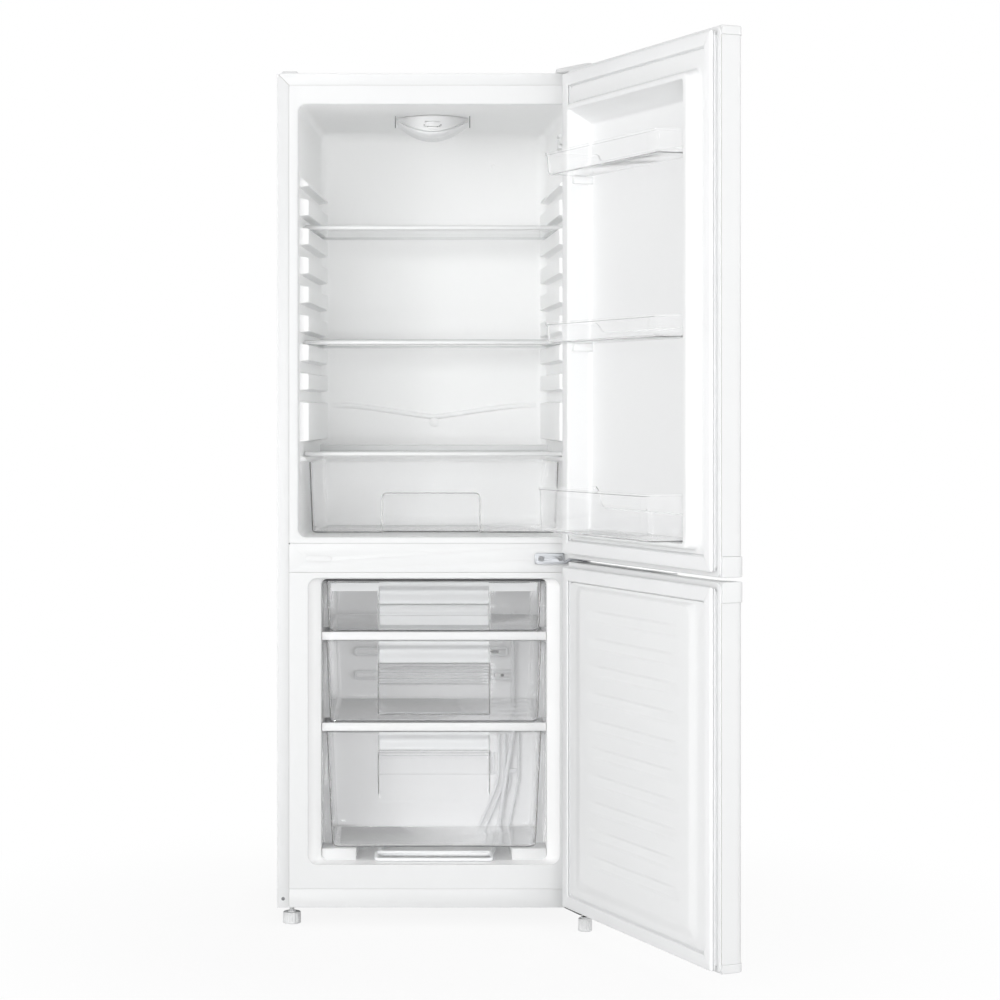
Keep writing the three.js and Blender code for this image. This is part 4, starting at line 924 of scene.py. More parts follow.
def grooveDepth(x, z):
    shape, grooves = lowerLining, lowerLining["grooves"]
    centre = sum(shape["span"]) / 2
    number = round((z - centre) / grooves["pitch"] + (grooves["count"] - 1) / 2)
    number = min(max(number, 0), grooves["count"] - 1)
    middle = centre + (number - (grooves["count"] - 1) / 2) * grooves["pitch"]
    taper = 1 - (x / grooves["half"]) ** 4
    if taper <= 0:
        return 0
    return grooves["depth"] * taper * smoothStep((grooves["rise"] - abs(z - middle)) / grooves["ramp"] + 0.5)


# How far the side of a rectangle with round corners stands from its middle at a height.
def sideAt(half, bottom, top, radius, z):
    reach = min(z - bottom, top - z)
    if reach >= radius:
        return half
    return half - radius + math.sqrt(max(radius ** 2 - (radius - reach) ** 2, 0))


# A loop on a rectangle of any size, point for point with the rim of the lower lining's face.
def faceLoop(half, bottom, top, radius, y):
    low, high = lowerLining["span"]
    corner, columns = lowerLining["corner"], lowerLining["columns"]

    def moved(z):
        if z - low < corner:
            return bottom + radius * (z - low) / corner
        if high - z < corner:
            return top - radius * (high - z) / corner
        return mixed(bottom + radius, top - radius, (z - low - corner) / (high - low - 2 * corner))

    heights = [moved(z) for z in faceRows()]
    sides = [(sideAt(half, bottom, top, radius, z), z) for z in heights]
    flat = [mixed(half - radius, radius - half, k / columns) for k in range(1, columns)]
    return standing(sides + [(x, top) for x in flat] + [(-x, z) for x, z in reversed(sides)]
                    + [(-x, bottom) for x in flat], y)


def buildLowerLining():
    shape = lowerLining
    low, high = shape["span"]
    rows, columns = faceRows(), shape["columns"]
    last = len(rows) - 1
    step = doorForm["rim"] + doorForm["land"]["height"]
    loops = [faceLoop(half, *span, corner, y) for half, span, corner, y in landSteps(doors["lower_door"])]
    for k in range(13):  # a soft slope from the flat step up to the face
        share = k / 12
        half = mixed(shape["baseHalf"], shape["half"], share)
        bottom, top = (mixed(start, end, share) for start, end in zip(shape["base"], shape["span"]))
        y = mixed(step, shape["faceY"], smoothStep(share))
        loops.append(faceLoop(half, bottom, top, shape["corner"], y))
    form = bmesh.new()
    edge = skinLoops(form, loops, capStart=False, capEnd=False)[-1]
    grid = []
    for j, z in enumerate(rows):
        half = sideAt(shape["half"], low, high, shape["corner"], z)
        line = []
        for k in range(columns + 1):
            if k == 0:
                line.append(edge[j])
            elif k == columns:
                line.append(edge[2 * last + columns - j])
            elif j == last:
                line.append(edge[last + k])
            elif j == 0:
                line.append(edge[-k])
            else:
                x = mixed(half, -half, k / columns)
                line.append(form.verts.new((x, shape["faceY"] - grooveDepth(x, z), z)))
        grid.append(line)
    for lower, upper in zip(grid, grid[1:]):
        for k in range(columns):
            form.faces.new((lower[k], upper[k], upper[k + 1], lower[k + 1]))
    addPiece("lower_door_lining", form, [doorLiningPaintedShade], "lower_door", ["lower_door_liner"], inDoor,
             wall=doorForm["linerSheet"], openSkin=True)


buildFridgeLining()
buildDrainGutter()
buildSwitchBoss()
buildFreezerLining()
buildDrawerLedges()
print("rooms done")
for doorName, door in doors.items():
    buildDoorSkin(doorName, door)
    buildDoorCap(doorName, "bottom", door)
    buildDoorCap(doorName, "top", door)
    buildGasket(doorName, door)
buildUpperLining()
buildBinLedges()
buildLowerLining()
print("doors done")


# Signed distance of a point to a rectangle with round corners, below zero inside it.
def toRectangle(a, b, spanA, spanB, radius):
    outA = abs(a - sum(spanA) / 2) - (spanA[1] - spanA[0]) / 2 + radius
    outB = abs(b - sum(spanB) / 2) - (spanB[1] - spanB[0]) / 2 + radius
    return math.hypot(max(outA, 0), max(outB, 0)) + min(max(outA, outB), 0) - radius


# A value along a line of (place, value) pairs, eased between them.
def along(place, pairs):
    for (start, low), (end, high) in zip(pairs, pairs[1:]):
        if place <= end:
            return mixed(low, high, smoothStep((place - start) / (end - start)))
    return pairs[-1][1]


# A loop round a tray, anticlockwise from above, with given places along its front.
def trayLoop(halfFront, halfBack, front, back, radius, spots):
    corner = quarterTurn(6)
    reach = halfFront - radius
    side = [(mixed(halfFront, halfBack, share), mixed(front + radius, back - radius, share))
            for share in (0.25, 0.5, 0.75)]
    loop = [(-reach, front)] + [(x, front) for x in spots if abs(x) < reach - 3]
    loop += [(halfFront - radius * toGo, front + radius * bend) for bend, toGo in corner]
    loop += side
    loop += [(halfBack - radius * bend, back - radius * toGo) for bend, toGo in corner]
    loop += [(mixed(halfBack - radius, radius - halfBack, k / 16), back) for k in range(1, 16)]
    loop += [(radius * toGo - halfBack, back - radius * bend) for bend, toGo in corner]
    loop += [(-x, y) for x, y in reversed(side)]
    loop += [(radius * bend - halfFront, front + radius * toGo) for bend, toGo in corner[:-1]]
    return loop


# Trays of clear plastic are drawn by their outside, from the floor up, and then given a wall.
# Down the handle, the wave pairs are how far below the rim and how deep its face lies.
freezerTray = {
    "front": 35, "wall": 2.4, "radius": 8, "floorRadius": 7, "handleHalf": 96, "edge": 1.6,
    "fluteDepth": 0.8, "flutePitch": 5, "rimBar": (2, 16),
}
freezerTrays = {
    "upper": {
        "bottom": 507.4, "top": 594, "half": 188.5, "taper": 4, "back": 392, "flutes": (44, 47), "frost": 84,
        "wave": [(0, 0), (6, 0), (16, 9), (38, 2), (42, 12), (51, 13), (59, 10), (60, 12), (80, 12), (83, 0)],
    },
    "middle": {
        "bottom": 348.4, "top": 490.6, "half": 188.5, "taper": 6, "back": 392, "flutes": (43, 74),
        "frost": 40,
        "wave": [(0, 0), (6, 0), (16, 9), (38, 2), (42, 14), (75, 14), (77, 12), (126, 12), (129, 0)],
    },
    "lower": {
        "bottom": 129, "top": 331.2, "half": 188.5, "taper": 10, "back": 262, "flutes": (34, 48), "frost": 32,
        "wave": [(0, 0), (3, 0), (14, 7), (31, 2), (35, 12), (73, 12), (75, 10), (119, 1), (124, 0)],
    },
}


def buildFreezerTray(name, tray):
    shared = freezerTray
    height = tray["top"] - tray["bottom"]
    edge = shared["handleHalf"]
    spots = [side * (edge + step) for side in (-1, 1) for step in (-2.4, -1.2, -0.6, 0, 0.6, 1.2, 2.4)]
    spots += [7.5 * k for k in range(-12, 13)] + [side * x for side in (-1, 1) for x in (110, 130, 150, 168)]
    spots.sort()
    wave, flutes = tray["wave"], tray["flutes"]
    drops = [mixed(start, end, k / 5) for (start, a), (end, b) in zip(wave, wave[1:]) for k in range(5)]
    drops += [flutes[0] + k * 1.25 for k in range(int((flutes[1] - flutes[0]) / 1.25) + 1)]
    drops += [*shared["rimBar"], tray["frost"]]
    drops += [k * 9 for k in range(int(height / 9) + 1)]
    last = height - shared["floorRadius"]
    drops = sorted({round(drop, 2) for drop in drops if drop < last - 0.6}, reverse=True)

    def relief(x, drop):
        flute = shared["fluteDepth"] * math.sin(2 * math.pi * (drop - flutes[0]) / shared["flutePitch"])
        depth = along(drop, wave) + flute * plateau(drop, *flutes, 2)
        return depth * plateau(x, -edge, edge, shared["edge"])

    def ring(drop, inset=0.0, lift=0.0):
        share = 1 - drop / height
        half = tray["half"] - tray["taper"] * (1 - share) - inset
        front = shared["front"] + 2 * (1 - share) + inset
        loop = trayLoop(half, half, front, tray["back"] - 5 * (1 - share) - inset, shared["radius"], spots)
        z = tray["top"] - drop + lift
        return [(x, y + (relief(x, drop) if abs(y - front) < 0.01 else 0), z) for x, y in loop]

    bottom = shared["floorRadius"]
    rings = [ring(height, bottom * toGo, bottom * bend) for bend, toGo in quarterTurn(6)[:-1]]
    form = bmesh.new()
    skinLoops(form, rings + [ring(drop) for drop in drops], capEnd=False)
    for face in form.faces:
        middle = face.calc_center_median()
        drop = tray["top"] - middle.z
        atFront = middle.y < shared["front"] + 18 and abs(middle.x) < tray["half"] - shared["radius"]
        if atFront and abs(middle.x) < edge and drop < tray["frost"]:
            face.material_index = 1
        elif atFront and name == "upper" and abs(middle.x) > edge:
            if plateau(drop, *shared["rimBar"], 0.1) > 0.5:
                face.material_index = 1
    addPiece("freezer_tray_" + name, form, [clearPlastic, frostedPlastic], "freezer_" + name,
             ["freezer_drawer_" + name], wall=-shared["wall"])


crisperTray = {
    "front": 85, "back": 352, "bottom": 677.6, "top": 803, "half": 221, "taper": 5, "backNarrower": 14,
    "wall": 2.4, "radius": 5, "floorRadius": 5,
    "pull": (-91, 80), "pullTop": 746.6, "pullDepth": 16, "pullCorner": 8, "edge": 2,
}


def buildCrisperTray():
    tray = crisperTray
    height = tray["top"] - tray["bottom"]
    steps = (-2.4, -1.2, -0.5, 0, 0.5, 1.2, 2.4, 5, 8)
    spots = [tray["pull"][0] + step for step in steps] + [tray["pull"][1] - step for step in steps]
    spots += [x for x in range(-200, 201, 12) if min(abs(x - edge) for edge in tray["pull"]) > 9]
    spots.sort()
    heights = [tray["pullTop"] - step for step in steps] + list(range(686, 737, 6)) + list(range(754, 803, 8))
    heights = sorted(heights + [tray["top"], tray["top"] - 3])
    pullSpan = (tray["bottom"] - 60, tray["pullTop"])

    def ring(z, inset=0.0):
        share = (z - tray["bottom"]) / height
        half = tray["half"] - tray["taper"] * (1 - share) - inset
        front = tray["front"] + inset
        loop = trayLoop(half, half - tray["backNarrower"], front, tray["back"] - inset, tray["radius"], spots)
        points = []
        for x, y in loop:
            if abs(y - front) < 0.01:
                inside = -toRectangle(x, z, tray["pull"], pullSpan, tray["pullCorner"])
                y += tray["pullDepth"] * smoothStep(inside / tray["edge"] + 0.5)
            points.append((x, y, z))
        return points

    radius = tray["floorRadius"]
    rings = [ring(tray["bottom"] + radius * bend, radius * toGo) for bend, toGo in quarterTurn(5)[:-1]]
    form = bmesh.new()
    skinLoops(form, rings + [ring(z) for z in heights], capEnd=False)
    addPiece("crisper_tray", form, [palePlastic], "crisper", ["crisper_drawer"],
             wall=-tray["wall"])


binTray = {
    "half": 204.6, "back": -25.5, "wall": 2.2, "radius": 9, "floorRadius": 6, "bead": 5, "beadProud": 1.3,
    "notch": 0.45, "notchHalf": 165, "lean": 3,
}


def buildBin(name, shelfBin):
    tray = binTray
    low, high, reach = shelfBin["bottom"], shelfBin["top"], shelfBin["reach"]
    height = high - low
    spots = [10 * k for k in range(-19, 20)]

    def rimAt(x, y):
        if y > tray["back"] + 2 + tray["beadProud"]:
            return high
        return high - tray["notch"] * height * plateau(x, -tray["notchHalf"], tray["notchHalf"], 26)

    def ring(z, inset=0.0):
        share = (z - low) / height
        inset += tray["beadProud"] * (1 - smoothStep((z - high + tray["bead"]) / 1.6 + 0.5))
        half, end = tray["half"] - inset, reach - tray["lean"] * (1 - share) - inset
        loop = trayLoop(half, half, tray["back"] + inset, end, tray["radius"], spots)
        return [(x, y, low + (z - low) * (rimAt(x, y) - low) / height) for x, y in loop]

    radius = tray["floorRadius"]
    rings = [ring(low + radius * bend, radius * toGo) for bend, toGo in quarterTurn(5)[:-1]]
    heights = [low + radius] + [low + 12 + 8 * k for k in range(int((height - 20) / 8))]
    heights += [high - tray["bead"] + step for step in (-0.9, -0.4, 0, 0.4, 0.9)] + [high - 0.5, high]
    form = bmesh.new()
    skinLoops(form, rings + [ring(z) for z in heights], capEnd=False)
    addPiece("bin_tray_" + name, form, [palePlastic], "bin_" + name, ["door_bin_" + name],
             inDoor, wall=-tray["wall"])


for name, tray in freezerTrays.items():
    buildFreezerTray(name, tray)
buildCrisperTray()
for name, shelfBin in bins.items():
    buildBin(name, shelfBin)
print("trays done")


# Shelves: a rounded front trim, a raised lip at the back and a runner down each side.
glassShelf = {
    "frontHalf": 229, "backHalf": 213.5, "front": 80, "back": 340, "trimHeight": 8, "trimDepth": 14,
    "nose": (3.2, 2.6), "brow": 4, "lipHeight": 17, "lipDepth": 8, "lipSlot": 4.6, "runner": 1.6,
    "runnerWidth": 5, "groove": (1.9, 6.4), "grooveDepth": 9,
    "floors": {"glass_shelf_upper": (1214, "shelf_upper"), "glass_shelf_lower": (1011, "shelf_lower"),
               "crisper_cover": (813.6, "cover_shelf")},
}


def shelfHalf(y):
    shape = glassShelf
    share = (y - shape["front"]) / (shape["back"] - shape["front"])
    return mixed(shape["frontHalf"], shape["backHalf"], share)


# The glass sits in a groove of the front trim and of the back lip; both are drawn as (y, z) sections.
def buildShelfFrame(name, floor, body):
    shape = glassShelf
    front, back = shape["front"], shape["back"]
    low, high = (floor + height for height in shape["groove"])
    (deep, tall), brow = shape["nose"], shape["brow"]
    inner = front + shape["trimDepth"]
    slot, roof = inner - shape["grooveDepth"], floor + shape["trimHeight"]
    trim = [(front + deep * bend, floor + tall * toGo) for bend, toGo in reversed(quarterTurn(6))]
    trim += [(front + brow * bend, roof - brow * toGo) for bend, toGo in quarterTurn(6)]
    trim += [(inner - 1, roof), (inner, roof - 0.8), (inner, high), (slot, high), (slot, low), (inner, low),
             (inner, floor)]
    form = bmesh.new()
    loops = []
    for side, pinch in ((-1, 0.8), (-0.996, 0), (0.996, 0), (1, 0.8)):
        loops.append([(side * shelfHalf(y), mixed(y, (front + inner) / 2, pinch * 0.06),
                       mixed(z, floor + shape["trimHeight"] / 2, pinch * 0.1)) for y, z in trim])
    skinLoops(form, loops)
    start = back - shape["lipDepth"]
    slot, top = start + shape["lipSlot"], floor + shape["lipHeight"]
    lip = [(start, floor), (start, low), (slot, low), (slot, high), (start, high), (start, top - 2.5),
           (start + 2.5, top), (back - 2, top), (back, top - 2), (back, floor)]
    skinLoops(form, [[(side * (shelfHalf(y) - 0.2), y, z) for y, z in lip] for side in (-1, 1)])
    width = shape["runnerWidth"]
    runner = [(shelfHalf(inner), inner), (shelfHalf(start), start), (shelfHalf(start) - width, start),
              (shelfHalf(inner) - width, inner)]
    for side in (-1, 1):
        plan = [(side * x, y) for x, y in runner]
        skinLoops(form, [lying(plan, floor), lying(plan, floor + shape["runner"])])
    addPiece(name + "_trims", form, [whitePlastic], body, [name + "_frame"])


for name, (floor, body) in glassShelf["floors"].items():
    buildShelfFrame(name, floor, body)
print("shelves done")


# Thermostat housing under the ceiling and its lamp lens, as (y, z) sections from left to right.
controlBox = {
    "centre": -2.6, "half": 66, "front": 136, "sweep": 52, "back": 291, "top": 1423.2, "drop": 28.6,
    "lens": 7.6, "lensWall": 2, "rim": 1.1, "dial": (-2.6, 155.8), "dialRoom": 21.4,
    "dialSlot": (1403, 1413.2), "bulbRoom": ((-32.6, 27.4), (190, 282), (1361, 1417.6)),
    "shadeStrips": (-69.3, 64.2),
    "marks": ((-15, 1406.5), (-8.6, 1403.6), (8.6, 1403.6), (12, 1405), (15, 1406.5)),
}


def buildHousing():
    box = controlBox
    sections = []
    for k in range(49):
        share = math.sin(math.pi / 2 * (k - 24) / 24)
        x = box["centre"] + box["half"] * share * 0.995
        face = box["front"] + box["sweep"] * share ** 2
        tall = box["drop"] * (1 - share ** 2 * 0.99)
        thin = min(1, tall / 12)
        low = box["top"] - tall
        rim = box["rim"] * thin
        profile = [(face, box["top"]), (face, box["top"] - 1.4 * thin), (face + rim, box["top"] - 2.2 * thin),
                   (face + rim, low + 3.4 * thin), (face, low + 2.6 * thin), (face, low + 1.4 * thin),
                   (face + 0.5, low + 0.4 * thin), (face + 1.6, low), (box["back"] - 2, low),
                   (box["back"], low + 1.4 * thin), (box["back"], box["top"])]
        sections.append([(x, y, z) for y, z in profile])
    form = bmesh.new()
    skinLoops(form, sections)
    housing = addPiece("thermostat_housing", form, [whitePlastic], "cabinet",
                       ["control_housing"])
    cutters = bmesh.new()
    addTurned(cutters, box["dial"], [(box["dialRoom"], z) for z in box["dialSlot"]], 48)
    addBox(cutters, *box["bulbRoom"])
    carve(housing, cutters, inCabinet)


def buildDialMarks():
    box = controlBox
    form = bmesh.new()
    for x, z in box["marks"]:
        y = box["front"] + box["sweep"] * (x / box["half"]) ** 2 + box["rim"]
        addBox(form, across(0.8, box["centre"] + x), (y - 0.25, y + 1), across(1.1, z))
    addPiece("dial_marks", form, [darkPlastic], "cabinet")


def buildLampCover():
    box = controlBox
    sections = []
    for k in range(33):
        share = math.sin(math.pi / 2 * (k - 16) / 16) * 0.96
        x = box["centre"] + box["half"] * share
        low = box["top"] - box["drop"] * (1 - share ** 2) - 0.4
        deep = box["lens"] * (1 - (share / 0.96) ** 2) + 0.05
        start = box["front"] + box["sweep"] * share ** 2 + 5
        profile = [(start + 22 * bend, low - deep * (1 - toGo)) for bend, toGo in quarterTurn(8)]
        profile.append((box["back"] - 6, low - 0.1 * deep))
        sections.append([(x, y, z) for y, z in profile])
    form = bmesh.new()
    skinLoops(form, sections, False, False, around=False)
    addPiece("lamp_cover", form, [lensPlastic], "cabinet", ["lamp_lens"],
             wall=box["lensWall"], openSkin=True)


# Two thin dark strips at the ends of the housing: painted shade for the shadow gaps beside it.
def buildHousingShadeStrips():
    form = bmesh.new()
    for x in controlBox["shadeStrips"]:
        addBox(form, across(0.6, x), (137, 150), (1402, 1421.8))
    addPiece("housing_shade_strips", form, [darkPlastic], "cabinet")


def buildKnob():
    dial = controlBox["dial"]
    form = bmesh.new()
    addTurned(form, dial, [(20.4, 1403.6), (21, 1404.2), (21, 1412), (20.4, 1412.6)], 60)
    addTurned(form, dial, [(4, 1403), (4, 1404)], 20)
    for spot in circle(dial, 20.7, 40):  # the ribs round its edge
        addTurned(form, spot, [(0.55, 1404), (0.55, 1412.2)], 6)
    addPiece("thermostat_knob", form, [whitePlastic], "dial", ["thermostat_dial"])


buildHousing()
buildDialMarks()
buildLampCover()
buildHousingShadeStrips()
buildKnob()
print("controls done")


# Freezer: side channels of the drawers, cooling tubes and the lines at the back.
trayFlange = {
    "overlap": 0.3, "outer": 196.3, "front": 35.4, "web": (43.4, 45.6), "sheet": 2.2, "below": 7.5,
    "above": 3,
}
coolingLevel = {
    "levels": {"upper": 499, "lower": 340}, "half": 184, "front": 51, "back": 400, "runs": 6, "radius": 4,
}
coldLines = {
    "loop": [(-90, 262, 117), (-96, 48, 117), (100, 42, 117), (118, 271, 117), (150, 271, 330),
             (150, 417, 330), (150, 417, 508)],
    "ring": {"half": 101, "high": (44, 119.5), "low": (17, 111.8), "radius": 3.1, "corner": 7.2},
    "hairpins": {"z": (436, 391), "gap": 13, "left": -150, "rights": (131, 141), "y": 414, "radius": 3},
    "bundle": {"tops": (120, 131, 140, 156), "feet": (79, 92, 114, 136), "top": 298, "foot": 114, "y": 277,
               "radius": 2.6},
    "clip": {"x": (131, 153), "y": (272, 281), "z": (226, 233)},
    "ceilingShade": {"half": 195.5, "y": (58, 62), "z": (594.6, 601)},
}


# Rows of points from side to side and back, each row one pitch further on, as (x, distance) pairs.
def toAndFro(half, start, pitch, runs):
    corners = []
    for run in range(runs):
        side = -1 if run % 2 else 1
        corners += [(-side * half, start + run * pitch), (side * half, start + run * pitch)]
    return corners


def buildTrayFlanges(name, tray):
    flange = trayFlange
    webFront, webBack = flange["web"]
    lip = flange["outer"] - flange["sheet"]
    slope = tray["taper"] / (tray["top"] - tray["bottom"])
    form = bmesh.new()
    for side in (-1, 1):
        loops = []
        for z in (tray["bottom"] + flange["below"], tray["top"] - flange["above"]):
            inner = tray["half"] - slope * (tray["top"] - z) - flange["overlap"]
            plan = [(inner, webFront), (lip, webFront), (lip, flange["front"]),
                    (flange["outer"], flange["front"]), (flange["outer"], webBack), (inner, webBack)]
            loops.append(lying([(side * x, y) for x, y in plan], z))
        skinLoops(form, loops)
    addPiece("tray_flanges_" + name, form, [clearPlastic], "freezer_" + name, edge=0.5)


def buildCoolingTubes():
    shape = coolingLevel
    pitch = (shape["back"] - shape["front"]) / (shape["runs"] - 1)
    for name, level in shape["levels"].items():
        corners = lying(toAndFro(shape["half"], shape["front"], pitch, shape["runs"]), level)
        form = bmesh.new()
        addTube(form, roundedRoute(corners, pitch / 2 - 0.05, 10), shape["radius"], 12)
        addPiece("cooling_tube_" + name, form, [whiteTube], "cabinet", ["evaporator_" + name])


def buildFloorTube():
    ring = coldLines["ring"]
    half, high, low = ring["half"], ring["high"], ring["low"]
    corners = [(0, *high), (half, *high), (half, *low), (-half, *low), (-half, *high), (-0.5, *high)]
    form = bmesh.new()
    addTube(form, roundedRoute(coldLines["loop"], 14), 4, 12)
    addTube(form, roundedRoute(corners, ring["corner"]), ring["radius"], 12)
    addPiece("floor_cooling_tube", form, [whiteTube], "cabinet", ["evaporator_floor_loop"])


# Two hairpins of tube behind the drawers, each with a sleeve and a clip at its end.
def buildBackTubes():
    hairpin = coldLines["hairpins"]
    left, gap, y = hairpin["left"], hairpin["gap"], hairpin["y"]
    form = bmesh.new()
    tips = bmesh.new()
    for z, right in zip(hairpin["z"], hairpin["rights"]):
        high, low = z + gap / 2, z - gap / 2
        tube = [(right, y, high), (left, y, high), (left, y, low), (right, y, low)]
        sleeve = [(right - 12, y, high), (right + 8, y, high), (right + 8, y, low), (right - 12, y, low)]
        addTube(form, roundedRoute(tube, gap / 2 - 0.1), hairpin["radius"], 10)
        addTube(form, roundedRoute(sleeve, gap / 2 - 0.1), hairpin["radius"] + 0.8, 10)
        addTube(tips, [(right - 14, y - 4, z), (right - 8, y - 4, z)], 2.6, 10)
    addPiece("back_cooling_tubes", form, [whiteTube], "cabinet")
    addPiece("tube_clips", tips, [darkPlastic], "cabinet")


def buildColdLines():
    bundle = coldLines["bundle"]
    y, knee = bundle["y"], mixed(bundle["foot"], bundle["top"], 0.52)
    form = bmesh.new()
    for top, foot in zip(bundle["tops"], bundle["feet"]):
        route = [(top, y, bundle["top"]), (top, y, knee), (foot, y, bundle["foot"])]
        addTube(form, roundedRoute(route, 120), bundle["radius"], 10)
    addBox(form, *(coldLines["clip"][axis] for axis in "xyz"))
    addPiece("cold_lines", form, [whiteTube], "cabinet")


# A dark strip under the freezer's ceiling edge, behind the mouth: painted shade for the shadowed gap above
# the upper drawer.
def buildCeilingShadeStrip():
    ceilingShade = coldLines["ceilingShade"]
    form = bmesh.new()
    addBox(form, across(ceilingShade["half"]), ceilingShade["y"], ceilingShade["z"])
    addPiece("ceiling_shade_strip", form, [darkPlastic], "cabinet", edge=0.8)


for name, tray in freezerTrays.items():
    buildTrayFlanges(name, tray)
buildCoolingTubes()
buildFloorTube()
buildBackTubes()
buildColdLines()
buildCeilingShadeStrip()
print("freezer fittings done")


# Hinges, feet and small fittings.
hingeCover = {
    "plan": [(212, 44), (212, 4), (216, -5), (257, -50), (263, -54), (269, -52.5), (271.6, -47), (271.6, 44)],
    "base": 1480.3, "low": 1487.4, "top": 1490.8, "lowX": 212, "topX": 271.6, "edge": 1.4,
}
footShape = {
    "left": {"at": (-248, 25), "radius": 15.5, "height": 22, "hub": 4, "stud": 53},
    "right": {"at": (260, -42), "radius": 12, "height": 24, "hub": 4.3, "stud": 0},
}
smallFittings = {
    "sensor": {"at": (113, 1360), "radius": 4.2}, "pip": {"at": (-251.3, 663.2), "radius": 1.3},
    "screws": [(-262, 46.6), (262, 46.6)], "screwRadius": 3.2, "screwRise": 0.2,
}


# A low dome that faces the front, sunk a little into the surface at y.
def domedHead(form, centre, y, radius, rise):
    loops = [standing(circle(centre, radius, 28), y + 0.6)]
    for k in range(7):
        turn = math.pi / 14 * k
        loops.append(standing(circle(centre, radius * math.cos(turn), 28), y - rise * math.sin(turn)))
    skinLoops(form, loops)


def buildHingeCover():
    cover = hingeCover
    form = bmesh.new()
    rise = (cover["top"] - cover["low"]) / (cover["topX"] - cover["lowX"])
    skinLoops(form, [lying(cover["plan"], cover["base"]),
                     [(x, y, cover["low"] + rise * (x - cover["lowX"])) for x, y in cover["plan"]]])
    addPiece("hinge_cap", form, [whitePlastic], "cabinet", ["top_hinge_cover"],
             edge=cover["edge"])


# A ribbed foot, turned about its upright; a stud with a thread stands on the left one.
def buildFoot(name, foot):
    radius, height = foot["radius"], foot["height"]
    x, y = foot["at"]

    def ring(z, inset, flutes=0.0):
        points = []
        for k in range(96):
            turn = 2 * math.pi * k / 96
            reach = radius - inset - flutes * (0.5 - 0.5 * math.cos(16 * turn)) ** 3
            points.append((x + reach * math.cos(turn), y + reach * math.sin(turn), z))
        return points

    hub = radius - foot["hub"]
    rings = [ring(0, 1.6), ring(0.5, 0.6), ring(1.6, 0), ring(3.4, 0), ring(4.4, 0.2, 1.2),
             ring(height - 5, 0.2, 1.2), ring(height - 4, 0), ring(height - 2.8, 0.3), ring(height - 2, 1.4),
             ring(height - 2, hub - 3), ring(height, hub - 3), ring(height, hub)]
    if foot["stud"]:
        pitch = 1.25
        for k in range(int((foot["stud"] - height) / pitch * 2)):
            rings.append(ring(height + k * pitch / 2, hub + (0.35 if k % 2 else 0)))
        rings.append(ring(foot["stud"], hub + 0.4))
    else:
        rings.append(ring(height / 2, hub))
    form = bmesh.new()
    skinLoops(form, rings)
    addPiece("foot_" + name, form, [whitePlastic], "foot_" + name, ["front_foot_" + name])


def buildSmallFittings():
    small = smallFittings
    form = bmesh.new()
    wall = fridgeRoom["wallDepth"] + fridgeRoom["fillet"]
    domedHead(form, small["sensor"]["at"], wall, small["sensor"]["radius"], 1.4)
    addPiece("sensor_cap", form, [lining], "cabinet")
    form = bmesh.new()
    domedHead(form, small["pip"]["at"], 0, small["pip"]["radius"], 0.3)
    addPiece("seam_pip", form, [darkPlastic], "cabinet")
    form = bmesh.new()
    for centre in small["screws"]:
        domedHead(form, centre, 0, small["screwRadius"], small["screwRise"])
    addPiece("bar_screws", form, [screwZinc], "cabinet")


buildHingeCover()
for name, foot in footShape.items():
    buildFoot(name, foot)
buildSmallFittings()
print("fittings done")


# Back: compressor and condenser.
compressorShape = {
    "at": (55, 410),
    "profile": [(10, 58), (34, 58.6), (52, 64), (61, 76), (63.4, 94), (63.6, 129), (64.6, 130),
                (66, 131.4), (66, 139.4), (64.6, 141), (62.8, 142), (62.4, 158), (60, 175), (52, 190),
                (40, 200), (24, 206), (8, 208)],
    "grommet": [(5, 36), (5, 42.4), (10, 42.4), (10, 46), (8.4, 48), (10, 50), (8.8, 53), (6, 57)],
    "feet": (75, 50), "box": ((-46, -5), (376, 444), (92, 160)),
    "suction": [(35, 355, 120), (35, 349, 120), (-30, 349, 120), (-30, 349, 247), (-100, 349, 247)],
    "process": [(96, 452, 128), (118, 462, 128), (124, 466, 168)],
}
condenserShape = {
    "half": 225, "bottom": 300, "top": 1400, "runs": 10, "y": 508, "radius": 2.5, "wire": 0.75,
    "wirePitch": 15, "wireGap": 1.6, "standHeights": (291, 1409), "standXs": (-180, 0, 180),
    "lineIn": [(144, 408, 180), (170, 408, 180), (170, 408, 244), (-225, 408, 244), (-225, 508, 244),
               (-225, 508, 301)],
    "lineOut": [(-219, 508, 1400), (-239, 508, 1400), (-239, 508, 150), (-239, 452, 150), (-239, 452, 170)],
    "drierAt": (-239, 452),
    "drier": [(2.2, 160), (2.6, 162), (6, 165), (9, 169), (9, 231), (6, 235), (2.6, 238), (2.2, 240)],
}


def buildCompressor():
    shape = compressorShape
    x, y = shape["at"]
    footX, footY = shape["feet"]
    form = bmesh.new()
    addTurned(form, shape["at"], shape["profile"], 64)
    for j in (-footY, footY):
        addBox(form, across(footX + 14, x), across(12, y + j), (57, 60))
        for i in (-footX, footX):
            addTurned(form, (x + i, y + j), shape["grommet"], 28)
    addBox(form, *shape["box"])
    addTube(form, roundedRoute(shape["suction"], 8), 3, 12)
    addTube(form, roundedRoute(shape["process"], 8), 3, 12)
    addPiece("compressor_can", form, [blackEnamel], "cabinet", ["compressor"], edge=1.2)


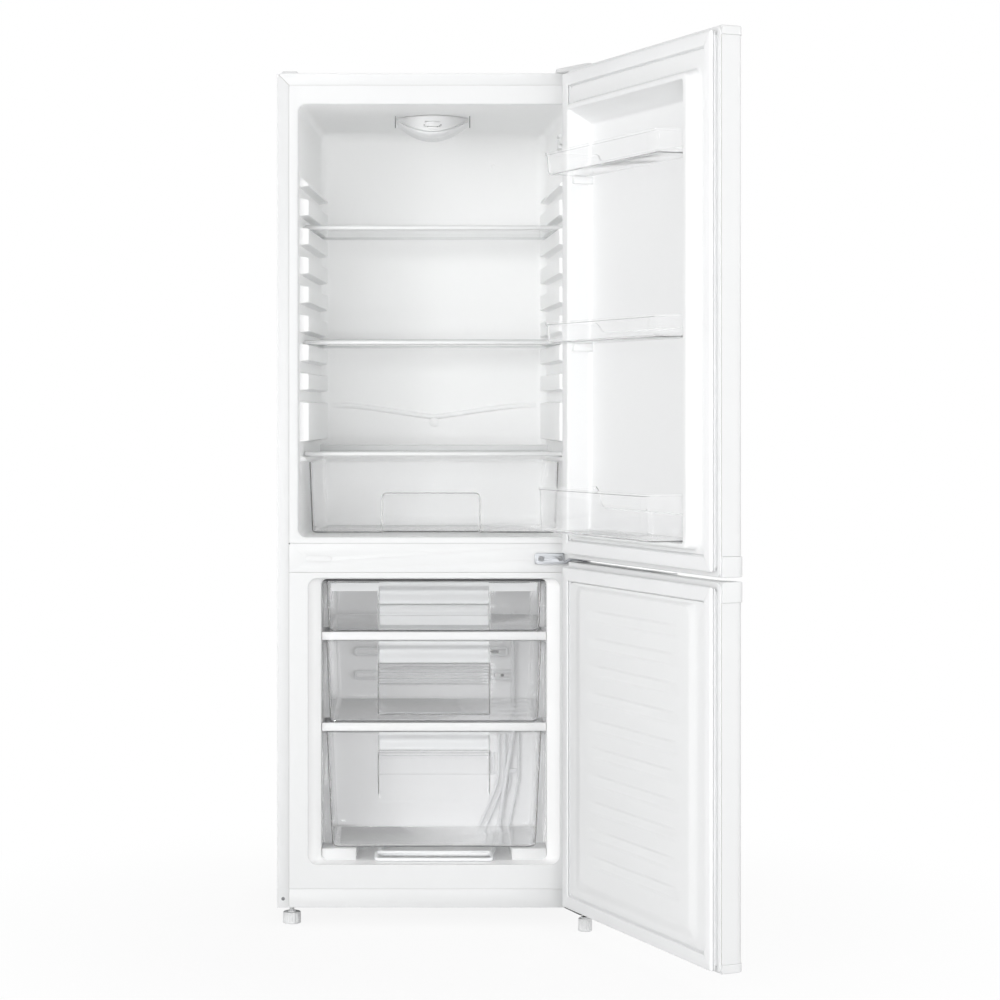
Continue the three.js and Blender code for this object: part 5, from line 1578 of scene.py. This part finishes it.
def buildCondenser():
    shape = condenserShape
    form = bmesh.new()
    pitch = (shape["top"] - shape["bottom"]) / (shape["runs"] - 1)
    corners = standing(toAndFro(shape["half"], shape["bottom"], pitch, shape["runs"]), shape["y"])
    for route, radius in ((corners, 36), (shape["lineIn"], 10), (shape["lineOut"], 10)):
        addTube(form, roundedRoute(route, radius), shape["radius"], 8)
    addTurned(form, shape["drierAt"], shape["drier"], 32)
    count = int(2 * (shape["half"] - 26) / shape["wirePitch"])
    for k in range(count + 1):
        x = (k - count / 2) * shape["wirePitch"]
        y = shape["y"] + (shape["wireGap"] if k % 2 else -shape["wireGap"])
        addTube(form, [(x, y, shape["bottom"] - 13), (x, y, shape["top"] + 13)], shape["wire"], 5)
    for x in shape["standXs"]:
        for z in shape["standHeights"]:
            addBox(form, across(7, x), (489.8, shape["y"] + 1), across(5, z))
    addPiece("condenser_grid", form, [blackEnamel], "cabinet", ["condenser"])


buildCompressor()
buildCondenser()
print("back done")


# CAD nodes that keep their shape: finish, softened edge in millimetres and names.
dress = [
    (whiteSteel, 0.5, ["outer_shell", "lower_cross_member", "middle_cross_member"]),
    (whiteSteel, 0.3, ["back_panel", "upper_door_skin", "lower_door_skin"]),
    (foamCore, 0, ["cabinet_foam", "upper_door_foam", "lower_door_foam"]),
    (lining, 1.5, ["fridge_liner", "freezer_liner", "upper_door_liner", "lower_door_liner"]),
    (sealRubber, 0.6, ["upper_door_gasket", "lower_door_gasket"]),
    (zincPlate, 0.3, ["base_pan", "top_hinge_bracket", "middle_hinge_bracket", "compressor_plate"]),
    (screwZinc, 0.3, ["middle_hinge_screw_left", "middle_hinge_screw_right"]),
    (whitePlastic, 0.3, ["front_foot_left", "front_foot_right"]),
    (whitePlastic, 0.4, ["hinge_hole_plug"]),
    (whitePlastic, 0.5, ["thermostat_dial", "glass_shelf_upper_frame", "glass_shelf_lower_frame",
                         "crisper_cover_frame"]),
    (whitePlastic, 0.6, ["evaporator_rail_upper", "evaporator_rail_lower", "control_housing"]),
    (whitePlastic, 0.8, ["top_corner_cap", "light_switch_button"]),
    (whitePlastic, 1.2, ["top_hinge_cover", "upper_door_bottom_cap", "upper_door_top_cap",
                         "lower_door_bottom_cap", "lower_door_top_cap"]),
    (whiteTube, 0, ["evaporator_upper", "evaporator_lower", "evaporator_floor_loop"]),
    (blackEnamel, 0, ["condenser"]),
    (blackEnamel, 0.3, ["bottom_hinge_bracket"]),
    (blackEnamel, 0.6, ["compressor"]),
    (darkPlastic, 0.6, ["evaporation_tray", "rear_roller_left", "rear_roller_right"]),
    (greyPlastic, 0.3, ["drain_tube"]),
    (clearPlastic, 0.3, ["lamp_lens"]),
    (clearPlastic, 0.4, ["freezer_drawer_upper", "freezer_drawer_middle", "freezer_drawer_lower",
                         "crisper_drawer", "door_bin_top", "door_bin_middle", "door_bin_bottom"]),
    (shelfGlass, 0, ["lamp_bulb", "glass_shelf_upper", "glass_shelf_lower", "crisper_cover"]),
]
for finish, edge, names in dress:
    for name in names:
        nodes[name].data.materials.clear()
        nodes[name].data.materials.append(finish)
        softenEdges(nodes[name], edge)
print("CAD nodes dressed")
